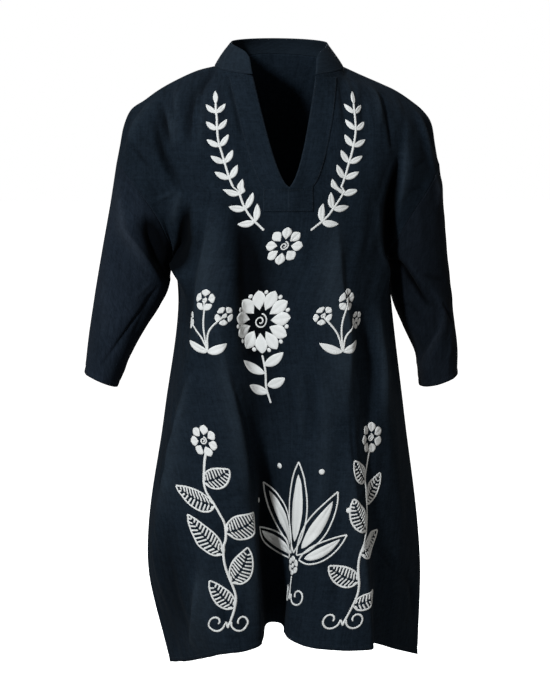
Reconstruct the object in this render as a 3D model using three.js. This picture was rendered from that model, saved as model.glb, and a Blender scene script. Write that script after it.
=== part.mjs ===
// Kaftan tunic in its worn form: front, back, two sleeves, split stand collar and V-neck placket.
// Millimetres. +Z is up, the front faces -Y and +X is the wearer's left.
// The origin is the middle of the neck seam, level with the neck's two side points.

import * as THREE from 'three';

// Cloth
const WALL = 1.5; // thickness of every panel
const SEAM_GAP = 0.3; // space left between two pieces that are sewn together
const NAVY = 0x151d26;

// Left and right as seen from the front of the garment
const SIGN = { left: -1, right: 1 };

// Heights at which the body's folds are given
const CHEST_Z = -258;
const WAIST_Z = -360;
const HIP_Z = -520;
const SWEEP_Z = -740;
const BODY_LENGTH = 592; // chest line to hem, along which the five heights are spaced

// Neck seam: an ellipse on each side of the shoulder points, open at the front
const NECK_HALF_WIDTH = 95;
const NECK_FRONT_REACH = 77;
const NECK_BACK_REACH = 67;
const NECK_MID_Y = 5;
const NECK_SIDE_Z = -2;
const NECK_FRONT_Z = -18;
const NECK_BACK_Z = 20;

// V opening, from the collar's front edges down to its tip
const V_TOP_HALF = 46;
const V_DEPTH = 160;
const V_BOW = 0.6; // under 1 bows the two edges outwards
const V_TOP_Y = -62;
const V_TIP_Y = -125;
const V_LEAN = 0.9; // under 1 brings the edges forward early on the way down

// Stand collar
const COLLAR_LIFT_FRONT = -0.7; // the collar stands clear of the cut edges of the panels
const COLLAR_LIFT_BACK = 1.5;
const COLLAR_TOP_HALF_WIDTH = 71;
const COLLAR_TOP_HALF_OPENING = 49;
const COLLAR_TOP_FRONT_REACH = 74;
const COLLAR_TOP_BACK_REACH = 54;
const COLLAR_TOP_FRONT_Z = 13;
const COLLAR_TOP_SIDE_Z = 33;
const COLLAR_TOP_BACK_Z = 42;
const COLLAR_CORNER = 11; // drop of the rounded front corners
const COLLAR_CORNER_FALL = 4; // each column further from the corner drops this many times less

// Placket: a band along both edges of the V that ends in a box below the tip
const PLACKET_WIDTH = 34;
const PLACKET_BOX_HALF = 36;
const PLACKET_BOX_BOTTOM = -213;
const PLACKET_WALL = 1.2;
const PLACKET_GAP = 1.1; // from the front's outer face, clear of the ridges of its facets
const PLACKET_INSET = 0.8; // from the edge of the V
const PLACKET_BELOW_COLLAR = 2.5;
const PLACKET_BELOW_COLLAR_FADE = 4; // power at which that drop dies out down the band
const PLACKET_TOP_SLOPE = 0.4; // share of the neck seam's rise that the upper end of the band follows
const PLACKET_TOP_SLOPE_FADE = 2;

// Shoulders
const SHOULDER_END_Y = 12; // the seam runs back from the neck to here
const FRONT_BULGE = 30; // fullness of the upper chest over straight lines between the seams
const BACK_BULGE = 36;
const BULGE_RISE = 0.15; // share of the bulge that also lifts the cloth
const BULGE_FADE = 3; // power at which the bulge dies out towards the chest line
const BULGE_PEAK = (BULGE_FADE + 1) ** (BULGE_FADE + 1) / BULGE_FADE ** BULGE_FADE;
const BACK_ROUNDING = 2.2; // over 1 brings the back's middle out to full depth high up

// Grid
const NECK_COLUMNS = 6; // from the V to the shoulder, and from there to the middle of the back
const HALF_COLUMNS = 18;
const YOKE_ROWS = 11; // shoulder to chest
const TIP_ROW = 8; // row of the V's tip
const SKIRT_ROWS = 20; // chest to hem
const SLEEVE_ROWS = 12;
const COLLAR_ROWS = 4;
const PLACKET_ROWS = 16; // neck seam to the tip of the V
const PLACKET_BOX_ROWS = 4;
const PLACKET_COLUMNS = 4;
const DRAPE_ROUNDS = 10; // smooths the yoke between its seams
const CHEST_ROUNDS = 3; // evens out the cloth where yoke and skirt meet
const CHEST_ROWS = 3;

// Shoulder seams, neck to the top of the sleeve
const SHOULDER = {
  left: table('x z', [
    [-95, -2], [-122, -9], [-153, -23], [-178, -37], [-199, -52],
    [-219, -66], [-230, -90], [-236, -120], [-241, -145],
  ]),
  right: table('x z', [
    [95, -2], [122, -14], [153, -27], [175, -37], [197, -51],
    [217, -67], [230, -86], [236, -118], [241, -145],
  ]),
};

// Sleeves, armhole to cuff. Each row is a ring through an outer and an inner edge.
const SLEEVE_COLUMNS = 'outerX outerZ innerX innerZ midY halfDepth';
const SLEEVE = {
  left: table(SLEEVE_COLUMNS, [
    [-241, -145, -158, CHEST_Z, 12, 66],
    [-250, -200, -160, -294, 6, 68],
    [-263, -270, -168, -334, 0, 66],
    [-275, -338, -188, -368, -6, 63],
    [-285, -402, -216, -412, -12, 60],
    [-291, -452, -244, -472, -18, 58],
  ]),
  right: table(SLEEVE_COLUMNS, [
    [241, -145, 164, CHEST_Z, 12, 66],
    [249, -202, 169.5, -298, 20, 66],
    [257, -275, 174, -344, 26, 64],
    [264, -350, 191, -389, 22, 62],
    [269, -412, 209, -432, 10, 60],
    [269, -458, 215, -480, -2, 58],
  ]),
};
const SHARP_FOLD = 0.4; // cosine of the turn at which a seam counts as a sharp fold
const UNDERARM_CLEARANCE = 3; // sleeve and body hang side by side from the underarm
const UNDERARM_CLEARANCE_FADE = 2;

// Folds of the skirt, one row for each line that runs down the cloth, from side seam to side seam
const FOLD_COLUMNS =
  'column chestX chestY waistX waistY hipX hipY sweepX sweepY hemX hemY hemZ';
const FRONT_FOLDS = table(FOLD_COLUMNS, [
  [-18, -158, 12, -151, 8, -173, 4, -199, 4, -166, 2, -897], // left side seam
  [-15, -150, -42, -133, -84, -163, -74, -190, -56, -139, -62, -880], // left ridge
  [-12, -129, -88, -118, -106, -132, -110, -150, -118, -100, -139, -852],
  [-8, -106, -108, -103, -116, -104, -130, -86, -144, -68, -146, -847], // left lobe
  [-5, -80, -116, -86, -117, -74, -131, -46, -131, -41, -128, -841], // its crisp edge
  [-2, -40, -121, -60, -110, -39, -94, -20, -62, -24, -48, -830], // deep trough
  [0, 0, -126, -36, -114, -18, -98, 3, -68, -2, -52, -830],
  [3, 34, -125, 8, -125, 12, -119, 6, -104, 0, -96, -838],
  [6, 64, -119, 44, -127, 38, -132, 28, -136, 24, -133, -845], // right lobe
  [9, 88, -110, 72, -122, 70, -135, 72, -145, 72, -147, -849],
  [12, 114, -93, 94, -113, 96, -130, 115, -140, 122, -136, -851], // its crisp edge
  [14, 136, -68, 117, -94, 118, -103, 128, -108, 128, -104, -850],
  [16, 152, -36, 146, -66, 157, -74, 177, -60, 168, -56, -872], // right ridge
  [18, 164, 12, 171, 8, 190, 4, 216, 4, 213, 2, -896], // right side seam
]);
const BACK_FOLDS = table(FOLD_COLUMNS, [
  [-18, -158, 12, -151, 8, -173, 4, -199, 4, -166, 2, -897],
  [-14, -140, 68, -134, 68, -150, 74, -170, 92, -144, 94, -876],
  [-10, -102, 98, -98, 90, -106, 100, -118, 126, -112, 134, -862],
  [-6, -60, 109, -62, 102, -62, 98, -64, 98, -64, 92, -856], // trough
  [-2, -20, 113, -22, 106, -20, 112, -14, 134, -12, 142, -852],
  [3, 30, 112, 28, 100, 32, 100, 40, 104, 44, 98, -854], // trough
  [8, 80, 105, 78, 95, 84, 104, 96, 130, 98, 137, -858],
  [12, 120, 86, 122, 78, 130, 82, 144, 94, 144, 90, -868],
  [15, 150, 52, 154, 48, 166, 52, 190, 64, 184, 62, -880],
  [18, 164, 12, 171, 8, 190, 4, 216, 4, 213, 2, -896],
]);

// Crease that runs from the shoulder to the underarm, on both sides of front and back
const ARM_CREASE = table('x z', [[176, -56], [180, -112], [162, -160], [149, -188], [156, -236]]);
const ARM_CREASE_DEPTH = 13;
const ARM_CREASE_HALF_WIDTH = 20;

function table(columns, rows) {
  const names = columns.split(' ');
  return rows.map((row) => Object.fromEntries(names.map((name, i) => [name, row[i]])));
}

function mix(a, b, t) {
  return a + (b - a) * t;
}

// Smooth curve through values at uneven knots
function spline(knots, values, t) {
  const last = knots.length - 1;
  let i = 0;
  while (i < last - 1 && t > knots[i + 1]) i += 1;
  const slope = (k) => {
    const from = Math.max(k - 1, 0);
    const to = Math.min(k + 1, last);
    return (values[to] - values[from]) / (knots[to] - knots[from]);
  };
  const width = knots[i + 1] - knots[i];
  const s = (t - knots[i]) / width;
  const rise = values[i + 1] - values[i];
  const bend = (slope(i) * width - rise) * (1 - s) - (slope(i + 1) * width - rise) * s;
  return values[i] + rise * s + s * (1 - s) * bend;
}

// Evenly spaced points along a smooth line through the rows of a table
function evenPoints(rows, names, count) {
  const knots = rows.map((_, i) => i);
  const samples = 200;
  const at = (t) => names.map((name) => spline(knots, rows.map((row) => row[name]), t));
  const fine = Array.from({ length: samples + 1 }, (_, i) => at((i / samples) * (rows.length - 1)));
  const travelled = [0];
  for (let i = 1; i <= samples; i += 1) {
    const step = Math.hypot(...fine[i].map((value, k) => value - fine[i - 1][k]));
    travelled.push(travelled[i - 1] + step);
  }
  const points = [];
  for (let i = 0; i <= count; i += 1) {
    const target = (travelled[samples] * i) / count;
    let k = 0;
    while (k < samples - 1 && travelled[k + 1] < target) k += 1;
    const share = (target - travelled[k]) / (travelled[k + 1] - travelled[k]);
    points.push(fine[k].map((value, n) => mix(value, fine[k + 1][n], share)));
  }
  return points;
}

// Point of the neck seam. The turn is 0 at centre front, a quarter at the side, a half at the back.
function neckPoint(turn, sign, form) {
  const sine = Math.sin(turn * 2 * Math.PI);
  const cosine = Math.cos(turn * 2 * Math.PI);
  const reach = cosine > 0 ? form.frontReach : form.backReach;
  const endZ = cosine > 0 ? form.frontZ : form.backZ;
  return new THREE.Vector3(
    sign * form.halfWidth * sine,
    NECK_MID_Y - reach * cosine,
    mix(form.sideZ, endZ, Math.abs(cosine)),
  );
}

const NECK_FORM = {
  halfWidth: NECK_HALF_WIDTH,
  frontReach: NECK_FRONT_REACH,
  backReach: NECK_BACK_REACH,
  sideZ: NECK_SIDE_Z,
  frontZ: NECK_FRONT_Z,
  backZ: NECK_BACK_Z,
};
const COLLAR_TOP_FORM = {
  halfWidth: COLLAR_TOP_HALF_WIDTH,
  frontReach: COLLAR_TOP_FRONT_REACH,
  backReach: COLLAR_TOP_BACK_REACH,
  sideZ: COLLAR_TOP_SIDE_Z,
  frontZ: COLLAR_TOP_FRONT_Z,
  backZ: COLLAR_TOP_BACK_Z,
};
const V_TURN = Math.asin(V_TOP_HALF / NECK_HALF_WIDTH) / (2 * Math.PI);
const SIDE_TURN = 0.25;
const BACK_TURN = 0.5;

// Upper edge of a panel's half, from the middle round the neck and out along the shoulder
function upperEdge(side, sign, firstTurn) {
  const neck = [];
  for (let i = 0; i < NECK_COLUMNS; i += 1) {
    neck.push(neckPoint(mix(firstTurn, SIDE_TURN, i / NECK_COLUMNS), sign, NECK_FORM));
  }
  const count = HALF_COLUMNS - NECK_COLUMNS;
  const shoulder = evenPoints(SHOULDER[side], ['x', 'z'], count).map(
    ([x, z], i) => new THREE.Vector3(x, mix(NECK_MID_Y, SHOULDER_END_Y, i / count), z),
  );
  return [...neck, ...shoulder];
}

// Edge of the V on one side. The share is 0 at the neck seam and 1 at the tip.
function vEdge(share, sign) {
  const half = V_TOP_HALF * (1 - share) ** V_BOW;
  return new THREE.Vector3(
    sign * half,
    mix(V_TOP_Y, V_TIP_Y, share ** V_LEAN),
    NECK_FRONT_Z - V_DEPTH * share,
  );
}

// Ring of a sleeve. The turn is 0 at the outer edge, a quarter in front, a half at the underarm.
function sleevePoint(side, along, turn) {
  const rows = SLEEVE[side];
  const knots = rows.map((_, i) => i / (rows.length - 1));
  const at = (name) => spline(knots, rows.map((row) => row[name]), along);
  const cosine = Math.cos(turn * 2 * Math.PI);
  const sine = Math.sin(turn * 2 * Math.PI);
  return new THREE.Vector3(
    mix(at('innerX'), at('outerX'), (1 + cosine) / 2),
    at('midY') - at('halfDepth') * sine,
    mix(at('innerZ'), at('outerZ'), (1 + cosine) / 2),
  );
}

// Point of the skirt at a column of the grid. The share is 0 at the chest and 1 at the hem.
function skirtPoint(folds, column, share) {
  const columns = folds.map((fold) => fold.column);
  const across = (name) => spline(columns, folds.map((fold) => fold[name]), column);
  const heights = [CHEST_Z, WAIST_Z, HIP_Z, SWEEP_Z, across('hemZ')];
  const knots = heights.map((z, i) => (i < 4 ? (CHEST_Z - z) / BODY_LENGTH : 1));
  const down = (axis) => {
    const names = ['chest', 'waist', 'hip', 'sweep', 'hem'].map((level) => level + axis);
    return spline(knots, names.map(across), share);
  };
  return new THREE.Vector3(down('X'), down('Y'), spline(knots, heights, share));
}

// Patch of cloth between four edges, as rows from the upper edge to the lower one
function patch(upper, lower, inner, outer) {
  const rows = inner.length - 1;
  const columns = upper.length - 1;
  const grid = [];
  for (let r = 0; r <= rows; r += 1) {
    const v = r / rows;
    const row = [];
    for (let c = 0; c <= columns; c += 1) {
      const u = c / columns;
      const point = upper[c].clone().multiplyScalar(1 - v);
      point.addScaledVector(lower[c], v);
      point.addScaledVector(inner[r], 1 - u);
      point.addScaledVector(outer[r], u);
      point.addScaledVector(upper[0], -(1 - u) * (1 - v));
      point.addScaledVector(upper[columns], -u * (1 - v));
      point.addScaledVector(lower[0], -(1 - u) * v);
      point.addScaledVector(lower[columns], -u * v);
      row.push(point);
    }
    grid.push(row);
  }
  return grid;
}

// How far a point lies in the arm crease, from 0 to 1
function inArmCrease(point) {
  let nearest = Infinity;
  for (let i = 0; i + 1 < ARM_CREASE.length; i += 1) {
    const from = new THREE.Vector2(ARM_CREASE[i].x, ARM_CREASE[i].z);
    const step = new THREE.Vector2(ARM_CREASE[i + 1].x, ARM_CREASE[i + 1].z).sub(from);
    const reach = new THREE.Vector2(Math.abs(point.x), point.z).sub(from);
    const t = THREE.MathUtils.clamp(reach.dot(step) / step.lengthSq(), 0, 1);
    nearest = Math.min(nearest, reach.addScaledVector(step, -t).length());
  }
  return Math.exp(-((nearest / ARM_CREASE_HALF_WIDTH) ** 2));
}

// One half of a panel, from its middle to its side: yoke rows over skirt rows
function halfPanel({ side, folds, firstTurn, inner, bulge, outward }) {
  const sign = SIGN[side];
  const upper = upperEdge(side, sign, firstTurn);
  const lower = upper.map((_, c) => skirtPoint(folds, sign * c, 0));
  const outer = inner.map((_, r) => {
    const turn = (r / YOKE_ROWS) * 0.5;
    return sleevePoint(side, 0, outward < 0 ? turn : -turn);
  });
  const grid = patch(upper, lower, inner, outer);
  for (let round = 0; round < DRAPE_ROUNDS; round += 1) drape(grid);
  grid.forEach((row, r) => {
    row.forEach((point, c) => {
      const v = r / YOKE_ROWS;
      const across = Math.sin((Math.PI * c) / HALF_COLUMNS);
      const swell = bulge * across * BULGE_PEAK * v * (1 - v) ** BULGE_FADE;
      const groove = ARM_CREASE_DEPTH * inArmCrease(point) * across * Math.min(1, 4 * v * (1 - v));
      point.y += outward * (swell - groove);
      point.z += swell * BULGE_RISE;
    });
  });
  for (let r = 1; r <= SKIRT_ROWS; r += 1) {
    grid.push(upper.map((_, c) => skirtPoint(folds, sign * c, r / SKIRT_ROWS)));
  }
  for (let round = 0; round < CHEST_ROUNDS; round += 1) easeChest(grid);
  return grid;
}

// Draws each inner point of a patch to the middle of its four neighbours, as taut cloth would lie
function drape(grid) {
  for (let r = 1; r < grid.length - 1; r += 1) {
    for (let c = 1; c < grid[r].length - 1; c += 1) {
      grid[r][c].copy(grid[r - 1][c]).add(grid[r + 1][c]).add(grid[r][c - 1]).add(grid[r][c + 1]);
      grid[r][c].multiplyScalar(0.25);
    }
  }
}

// Evens out the rows about the chest line, where the yoke and the skirt meet
function easeChest(grid) {
  for (let r = YOKE_ROWS - CHEST_ROWS; r <= YOKE_ROWS + CHEST_ROWS; r += 1) {
    for (let c = 0; c < HALF_COLUMNS; c += 1) {
      const middle = grid[r - 1][c].clone().add(grid[r + 1][c]).multiplyScalar(0.5);
      grid[r][c].lerp(middle, 0.5);
    }
  }
}

// A sheet is a set of points with the quads between them, from one or more grids of rows. Grids
// that hold the same point are joined there. Its quads turn left, seen from outside the cloth.
function sheetOf(grids) {
  const ids = new Map();
  const points = [];
  const idOf = (point) => {
    if (!ids.has(point)) {
      ids.set(point, points.length);
      points.push(point);
    }
    return ids.get(point);
  };
  const quads = [];
  for (const { rows, flip } of grids) {
    for (let r = 0; r + 1 < rows.length; r += 1) {
      for (let c = 0; c + 1 < rows[r].length; c += 1) {
        const quad = [rows[r][c], rows[r + 1][c], rows[r + 1][c + 1], rows[r][c + 1]];
        quads.push((flip ? quad.reverse() : quad).map(idOf));
      }
    }
  }
  return { points, quads, normals: normalsOf(points, quads), idOf };
}

// The two triangles of a quad, along its shorter diagonal
function triangles([a, b, c, d], points) {
  const shorter = points[a].distanceTo(points[c]) <= points[b].distanceTo(points[d]);
  return shorter ? [[a, b, c], [a, c, d]] : [[a, b, d], [b, c, d]];
}

function normalsOf(points, quads) {
  const normals = points.map(() => new THREE.Vector3());
  for (const quad of quads) {
    const [a, b, c, d] = quad.map((id) => points[id]);
    const across = new THREE.Vector3().subVectors(c, a);
    const area = across.cross(new THREE.Vector3().subVectors(d, b));
    for (const id of quad) normals[id].add(area);
  }
  return normals.map((normal) => normal.normalize());
}

// Gives two sheets the same normals along a seam, so that their cut edges lie face to face.
// Where the seam is a sharp fold, each sheet keeps its own.
function shareSeam(first, firstPoints, second, secondPoints) {
  firstPoints.forEach((point, i) => {
    const a = first.idOf(point);
    const b = second.idOf(secondPoints[i]);
    if (first.normals[a].dot(second.normals[b]) < SHARP_FOLD) return;
    const normal = first.normals[a].clone().add(second.normals[b]).normalize();
    first.normals[a].copy(normal);
    second.normals[b].copy(normal);
  });
}

// Moves the points of an edge back from the seam, towards their neighbours inside the panel
function openSeam(edge, inside, distance) {
  edge.forEach((point, i) => {
    const inwards = new THREE.Vector3().subVectors(inside[i], point).normalize();
    point.addScaledVector(inwards, distance);
  });
}

// Closed wall of cloth about a sheet, with straight cut edges
function wall(sheet, thickness) {
  const { points, quads, normals } = sheet;
  const count = points.length;
  const positions = [];
  for (const face of [0.5, -0.5]) {
    points.forEach((point, i) => {
      const moved = point.clone().addScaledVector(normals[i], face * thickness);
      positions.push(moved.x, moved.y, moved.z);
    });
  }
  const faces = [];
  const edges = new Set();
  for (const quad of quads) {
    for (const [p, q, r] of triangles(quad, points)) {
      faces.push(p, q, r, p + count, r + count, q + count);
    }
    quad.forEach((id, i) => edges.add(`${id} ${quad[(i + 1) % 4]}`));
  }
  for (const edge of edges) {
    const [p, q] = edge.split(' ').map(Number);
    if (edges.has(`${q} ${p}`)) continue;
    faces.push(q, p, p + count, q, p + count, q + count);
  }
  const geometry = new THREE.BufferGeometry();
  geometry.setAttribute('position', new THREE.Float32BufferAttribute(positions, 3));
  geometry.setIndex(faces);
  geometry.computeVertexNormals();
  return geometry;
}

// Lets two halves hold the same points along their middle, from a row downwards
function joinMiddle(halves, firstRow) {
  for (let r = firstRow; r < halves.left.length; r += 1) {
    halves.left[r][0] = halves.right[r][0];
  }
  return halves;
}

// Front: two halves that part at the V and share their middle below its tip
function frontHalves() {
  const half = (side) => {
    const sign = SIGN[side];
    const inner = [];
    for (let r = 0; r <= TIP_ROW; r += 1) inner.push(vEdge(r / TIP_ROW, sign));
    const middle = skirtPoint(FRONT_FOLDS, 0, 0);
    for (let r = TIP_ROW + 1; r <= YOKE_ROWS; r += 1) {
      inner.push(inner[TIP_ROW].clone().lerp(middle, (r - TIP_ROW) / (YOKE_ROWS - TIP_ROW)));
    }
    return halfPanel({
      side, folds: FRONT_FOLDS, firstTurn: V_TURN, inner, bulge: FRONT_BULGE, outward: -1,
    });
  };
  return joinMiddle({ left: half('left'), right: half('right') }, TIP_ROW);
}

// Back: two halves that share their middle all the way from the neck to the hem
function backHalves() {
  const half = (side) => {
    const top = neckPoint(BACK_TURN, SIGN[side], NECK_FORM);
    const middle = skirtPoint(BACK_FOLDS, 0, 0);
    const inner = [];
    for (let r = 0; r <= YOKE_ROWS; r += 1) {
      const v = r / YOKE_ROWS;
      const y = mix(top.y, middle.y, 1 - (1 - v) ** BACK_ROUNDING);
      inner.push(new THREE.Vector3(mix(0, middle.x, v), y, mix(top.z, middle.z, v)));
    }
    return halfPanel({
      side, folds: BACK_FOLDS, firstTurn: BACK_TURN, inner, bulge: BACK_BULGE, outward: 1,
    });
  };
  return joinMiddle({ left: half('left'), right: half('right') }, 0);
}

// Sews the front to the back along the shoulders and sides, with the seam gap between them
function closeSides(front, frontSheet, back, backSheet) {
  for (const side of ['left', 'right']) {
    const seams = [front[side], back[side]].map((rows) => [
      ...rows[0].slice(NECK_COLUMNS),
      ...rows.slice(YOKE_ROWS).map((row) => row[HALF_COLUMNS]),
    ]);
    shareSeam(frontSheet, seams[0], backSheet, seams[1]);
    for (const rows of [front[side], back[side]]) {
      openSeam(rows[0].slice(NECK_COLUMNS), rows[1].slice(NECK_COLUMNS), SEAM_GAP / 2);
      const below = rows.slice(YOKE_ROWS);
      const edge = below.map((row) => row[HALF_COLUMNS]);
      openSeam(edge, below.map((row) => row[HALF_COLUMNS - 1]), SEAM_GAP / 2);
    }
  }
}

// Sleeve: rings from the armhole to the cuff, sewn to the front and the back. The first ring stands
// clear of their edges.
function sleeveSheet(side, panels) {
  const ringColumns = 2 * YOKE_ROWS;
  const rows = [];
  for (let r = 0; r <= SLEEVE_ROWS; r += 1) {
    const ring = [];
    for (let c = 0; c < ringColumns; c += 1) {
      ring.push(sleevePoint(side, r / SLEEVE_ROWS, c / ringColumns));
    }
    ring.push(ring[0]);
    rows.push(ring);
  }
  rows[0].slice(0, ringColumns).forEach((point, c) => {
    const nearUnderarm = (1 - Math.cos((c / ringColumns) * 2 * Math.PI)) / 2;
    const down = new THREE.Vector3().subVectors(rows[1][c], point).normalize();
    point.addScaledVector(down, SEAM_GAP);
    point.x += SIGN[side] * UNDERARM_CLEARANCE * nearUnderarm ** UNDERARM_CLEARANCE_FADE;
  });
  const sheet = sheetOf([{ rows, flip: side === 'right' }]);
  for (const { sheet: panel, halves, turnSign } of panels) {
    const armhole = halves[side].slice(0, YOKE_ROWS + 1).map((row) => row[HALF_COLUMNS]);
    const ring = armhole.map((_, r) => rows[0][(ringColumns + turnSign * r) % ringColumns]);
    shareSeam(panel, armhole, sheet, ring);
  }
  return sheet;
}

// Stand collar: a band round the neck from one edge of the V to the other, leaning in to the neck
function collarSheet() {
  const topTurn = Math.asin(COLLAR_TOP_HALF_OPENING / COLLAR_TOP_HALF_WIDTH) / (2 * Math.PI);
  const rows = [];
  const halfColumns = 2 * NECK_COLUMNS; // in line with the columns of the front and the back
  for (let r = 0; r <= COLLAR_ROWS; r += 1) {
    const height = 1 - r / COLLAR_ROWS;
    const row = [];
    for (let c = -halfColumns; c <= halfColumns; c += 1) {
      const sign = c < 0 ? -1 : 1;
      const fromBack = Math.abs(c) / NECK_COLUMNS;
      const turnFrom = (frontTurn) =>
        fromBack < 1 ? mix(BACK_TURN, SIDE_TURN, fromBack) : mix(SIDE_TURN, frontTurn, fromBack - 1);
      const low = neckPoint(turnFrom(V_TURN), sign, NECK_FORM);
      const high = neckPoint(turnFrom(topTurn), sign, COLLAR_TOP_FORM);
      high.z -= COLLAR_CORNER / COLLAR_CORNER_FALL ** (halfColumns - Math.abs(c));
      low.z += mix(COLLAR_LIFT_BACK, COLLAR_LIFT_FRONT, fromBack / 2);
      row.push(low.lerp(high, height));
    }
    rows.push(row);
  }
  return sheetOf([{ rows, flip: true }]);
}

// Finds the point of a sheet at x and z, and moves it out of the cloth
function pointOver(sheet, x, z, distance) {
  let best = null;
  for (const quad of sheet.quads) {
    for (const ids of triangles(quad, sheet.points)) {
      const [p, q, r] = ids.map((id) => sheet.points[id]);
      const area = (q.x - p.x) * (r.z - p.z) - (r.x - p.x) * (q.z - p.z);
      const wq = ((x - p.x) * (r.z - p.z) - (r.x - p.x) * (z - p.z)) / area;
      const wr = ((q.x - p.x) * (z - p.z) - (x - p.x) * (q.z - p.z)) / area;
      const inside = Math.min(wq, wr, 1 - wq - wr);
      if (best === null || inside > best.inside) {
        best = { inside, ids, weights: [1 - wq - wr, wq, wr] };
      }
    }
  }
  const point = new THREE.Vector3();
  const normal = new THREE.Vector3();
  best.ids.forEach((id, i) => {
    point.addScaledVector(sheet.points[id], best.weights[i]);
    normal.addScaledVector(sheet.normals[id], best.weights[i]);
  });
  return point.addScaledVector(normal.normalize(), distance);
}

// Placket: bands beside the V and a box below its tip, laid on the front
function placketSheet(frontSheet) {
  const distance = WALL / 2 + PLACKET_GAP + PLACKET_WALL / 2;
  const half = (side) => {
    const sign = SIGN[side];
    const rows = [];
    for (let r = 0; r <= PLACKET_ROWS + PLACKET_BOX_ROWS; r += 1) {
      const share = Math.min(r / PLACKET_ROWS, 1);
      const edge = vEdge(share, sign);
      const inner = Math.abs(edge.x) + (r < PLACKET_ROWS ? PLACKET_INSET : 0);
      const outer = Math.max(Math.abs(edge.x) + PLACKET_WIDTH, PLACKET_BOX_HALF);
      const boxShare = Math.max(r - PLACKET_ROWS, 0) / PLACKET_BOX_ROWS;
      const z = mix(edge.z, PLACKET_BOX_BOTTOM, boxShare);
      const slope = PLACKET_TOP_SLOPE * (1 - share) ** PLACKET_TOP_SLOPE_FADE;
      const rise = (NECK_SIDE_Z - NECK_FRONT_Z) * slope;
      const drop = PLACKET_BELOW_COLLAR * (1 - share) ** PLACKET_BELOW_COLLAR_FADE;
      const row = [];
      for (let c = 0; c <= PLACKET_COLUMNS; c += 1) {
        const u = c / PLACKET_COLUMNS;
        row.push(pointOver(frontSheet, sign * mix(inner, outer, u), z + rise * u - drop, distance));
      }
      rows.push(row);
    }
    return rows;
  };
  const halves = joinMiddle({ left: half('left'), right: half('right') }, PLACKET_ROWS);
  return sheetOf([{ rows: halves.left, flip: true }, { rows: halves.right, flip: false }]);
}

function clothPiece(name, sheet, thickness = WALL) {
  const material = new THREE.MeshStandardMaterial({ color: NAVY, roughness: 0.9, metalness: 0 });
  const piece = new THREE.Mesh(wall(sheet, thickness), material);
  piece.name = name;
  return piece;
}

const front = frontHalves();
const back = backHalves();
const frontSheet = sheetOf([{ rows: front.left, flip: true }, { rows: front.right, flip: false }]);
const backSheet = sheetOf([{ rows: back.left, flip: false }, { rows: back.right, flip: true }]);
closeSides(front, frontSheet, back, backSheet);

const kaftan = new THREE.Group();
const panels = [
  { sheet: frontSheet, halves: front, turnSign: 1 },
  { sheet: backSheet, halves: back, turnSign: -1 },
];
const leftSleeveSheet = sleeveSheet('left', panels);
const rightSleeveSheet = sleeveSheet('right', panels);
kaftan.add(clothPiece('front', frontSheet));
kaftan.add(clothPiece('back', backSheet));
kaftan.add(clothPiece('sleeve_left', leftSleeveSheet));
kaftan.add(clothPiece('sleeve_right', rightSleeveSheet));
kaftan.add(clothPiece('collar', collarSheet()));
kaftan.add(clothPiece('placket', placketSheet(frontSheet), PLACKET_WALL));
export default kaftan;
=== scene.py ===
"""Kaftan tunic in navy cotton with white embroidery, in its worn form. Metres, in the part's frame."""

import math

import bpy
import numpy as np
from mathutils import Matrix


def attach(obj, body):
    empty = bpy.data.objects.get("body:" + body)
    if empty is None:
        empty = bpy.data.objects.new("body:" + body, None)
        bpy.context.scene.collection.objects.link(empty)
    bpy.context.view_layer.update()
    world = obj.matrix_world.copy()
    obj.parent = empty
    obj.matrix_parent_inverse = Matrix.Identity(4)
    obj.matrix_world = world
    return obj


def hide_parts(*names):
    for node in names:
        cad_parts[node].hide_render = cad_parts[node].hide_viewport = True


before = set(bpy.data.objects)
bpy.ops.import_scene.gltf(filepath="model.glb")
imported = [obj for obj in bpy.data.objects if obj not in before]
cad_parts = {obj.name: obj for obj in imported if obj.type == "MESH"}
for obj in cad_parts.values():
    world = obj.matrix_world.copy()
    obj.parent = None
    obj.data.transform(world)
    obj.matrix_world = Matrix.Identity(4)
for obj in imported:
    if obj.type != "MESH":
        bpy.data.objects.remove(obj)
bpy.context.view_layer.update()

# ----------------------------------------------------------------------------------------------
# Front panel. One length of navy plain-weave cotton from the shoulders to the hem, slit down the
# middle for the V neck. It hangs from the shoulders in soft folds that run down the cloth, and its
# lower edge is turned up twice and sewn by machine.
# ----------------------------------------------------------------------------------------------

MM = 0.001
CLOTH_THICKNESS = 0.9  # millimetres, as all sizes here
SIGN = {"left": -1, "right": 1}

CHEST_Z, WAIST_Z, HIP_Z, SWEEP_Z = -258, -360, -520, -740
BODY_LENGTH = 592  # chest line to hem

NECK_MID_Y = 5
NECK_SEAM = {
    "half_width": 95, "front_reach": 77, "back_reach": 67, "side_z": -2, "front_z": -18, "back_z": 20,
}
V_TOP_HALF, V_DEPTH, V_BOW, V_LEAN = 46, 160, 0.6, 0.9
V_TOP_Y, V_TIP_Y = -62, -125
V_TURN = math.asin(V_TOP_HALF / NECK_SEAM["half_width"]) / (2 * math.pi)
SIDE_TURN, BACK_TURN = 0.25, 0.5

SHOULDER_END_Y = 12
SHOULDER = {  # x z, from the neck to the top of the sleeve
    "left": [
        (-95, -2), (-122, -9), (-153, -23), (-178, -37), (-199, -52),
        (-219, -66), (-230, -90), (-236, -120), (-241, -145),
    ],
    "right": [
        (95, -2), (122, -14), (153, -27), (175, -37), (197, -51),
        (217, -67), (230, -86), (236, -118), (241, -145),
    ],
}

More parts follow.
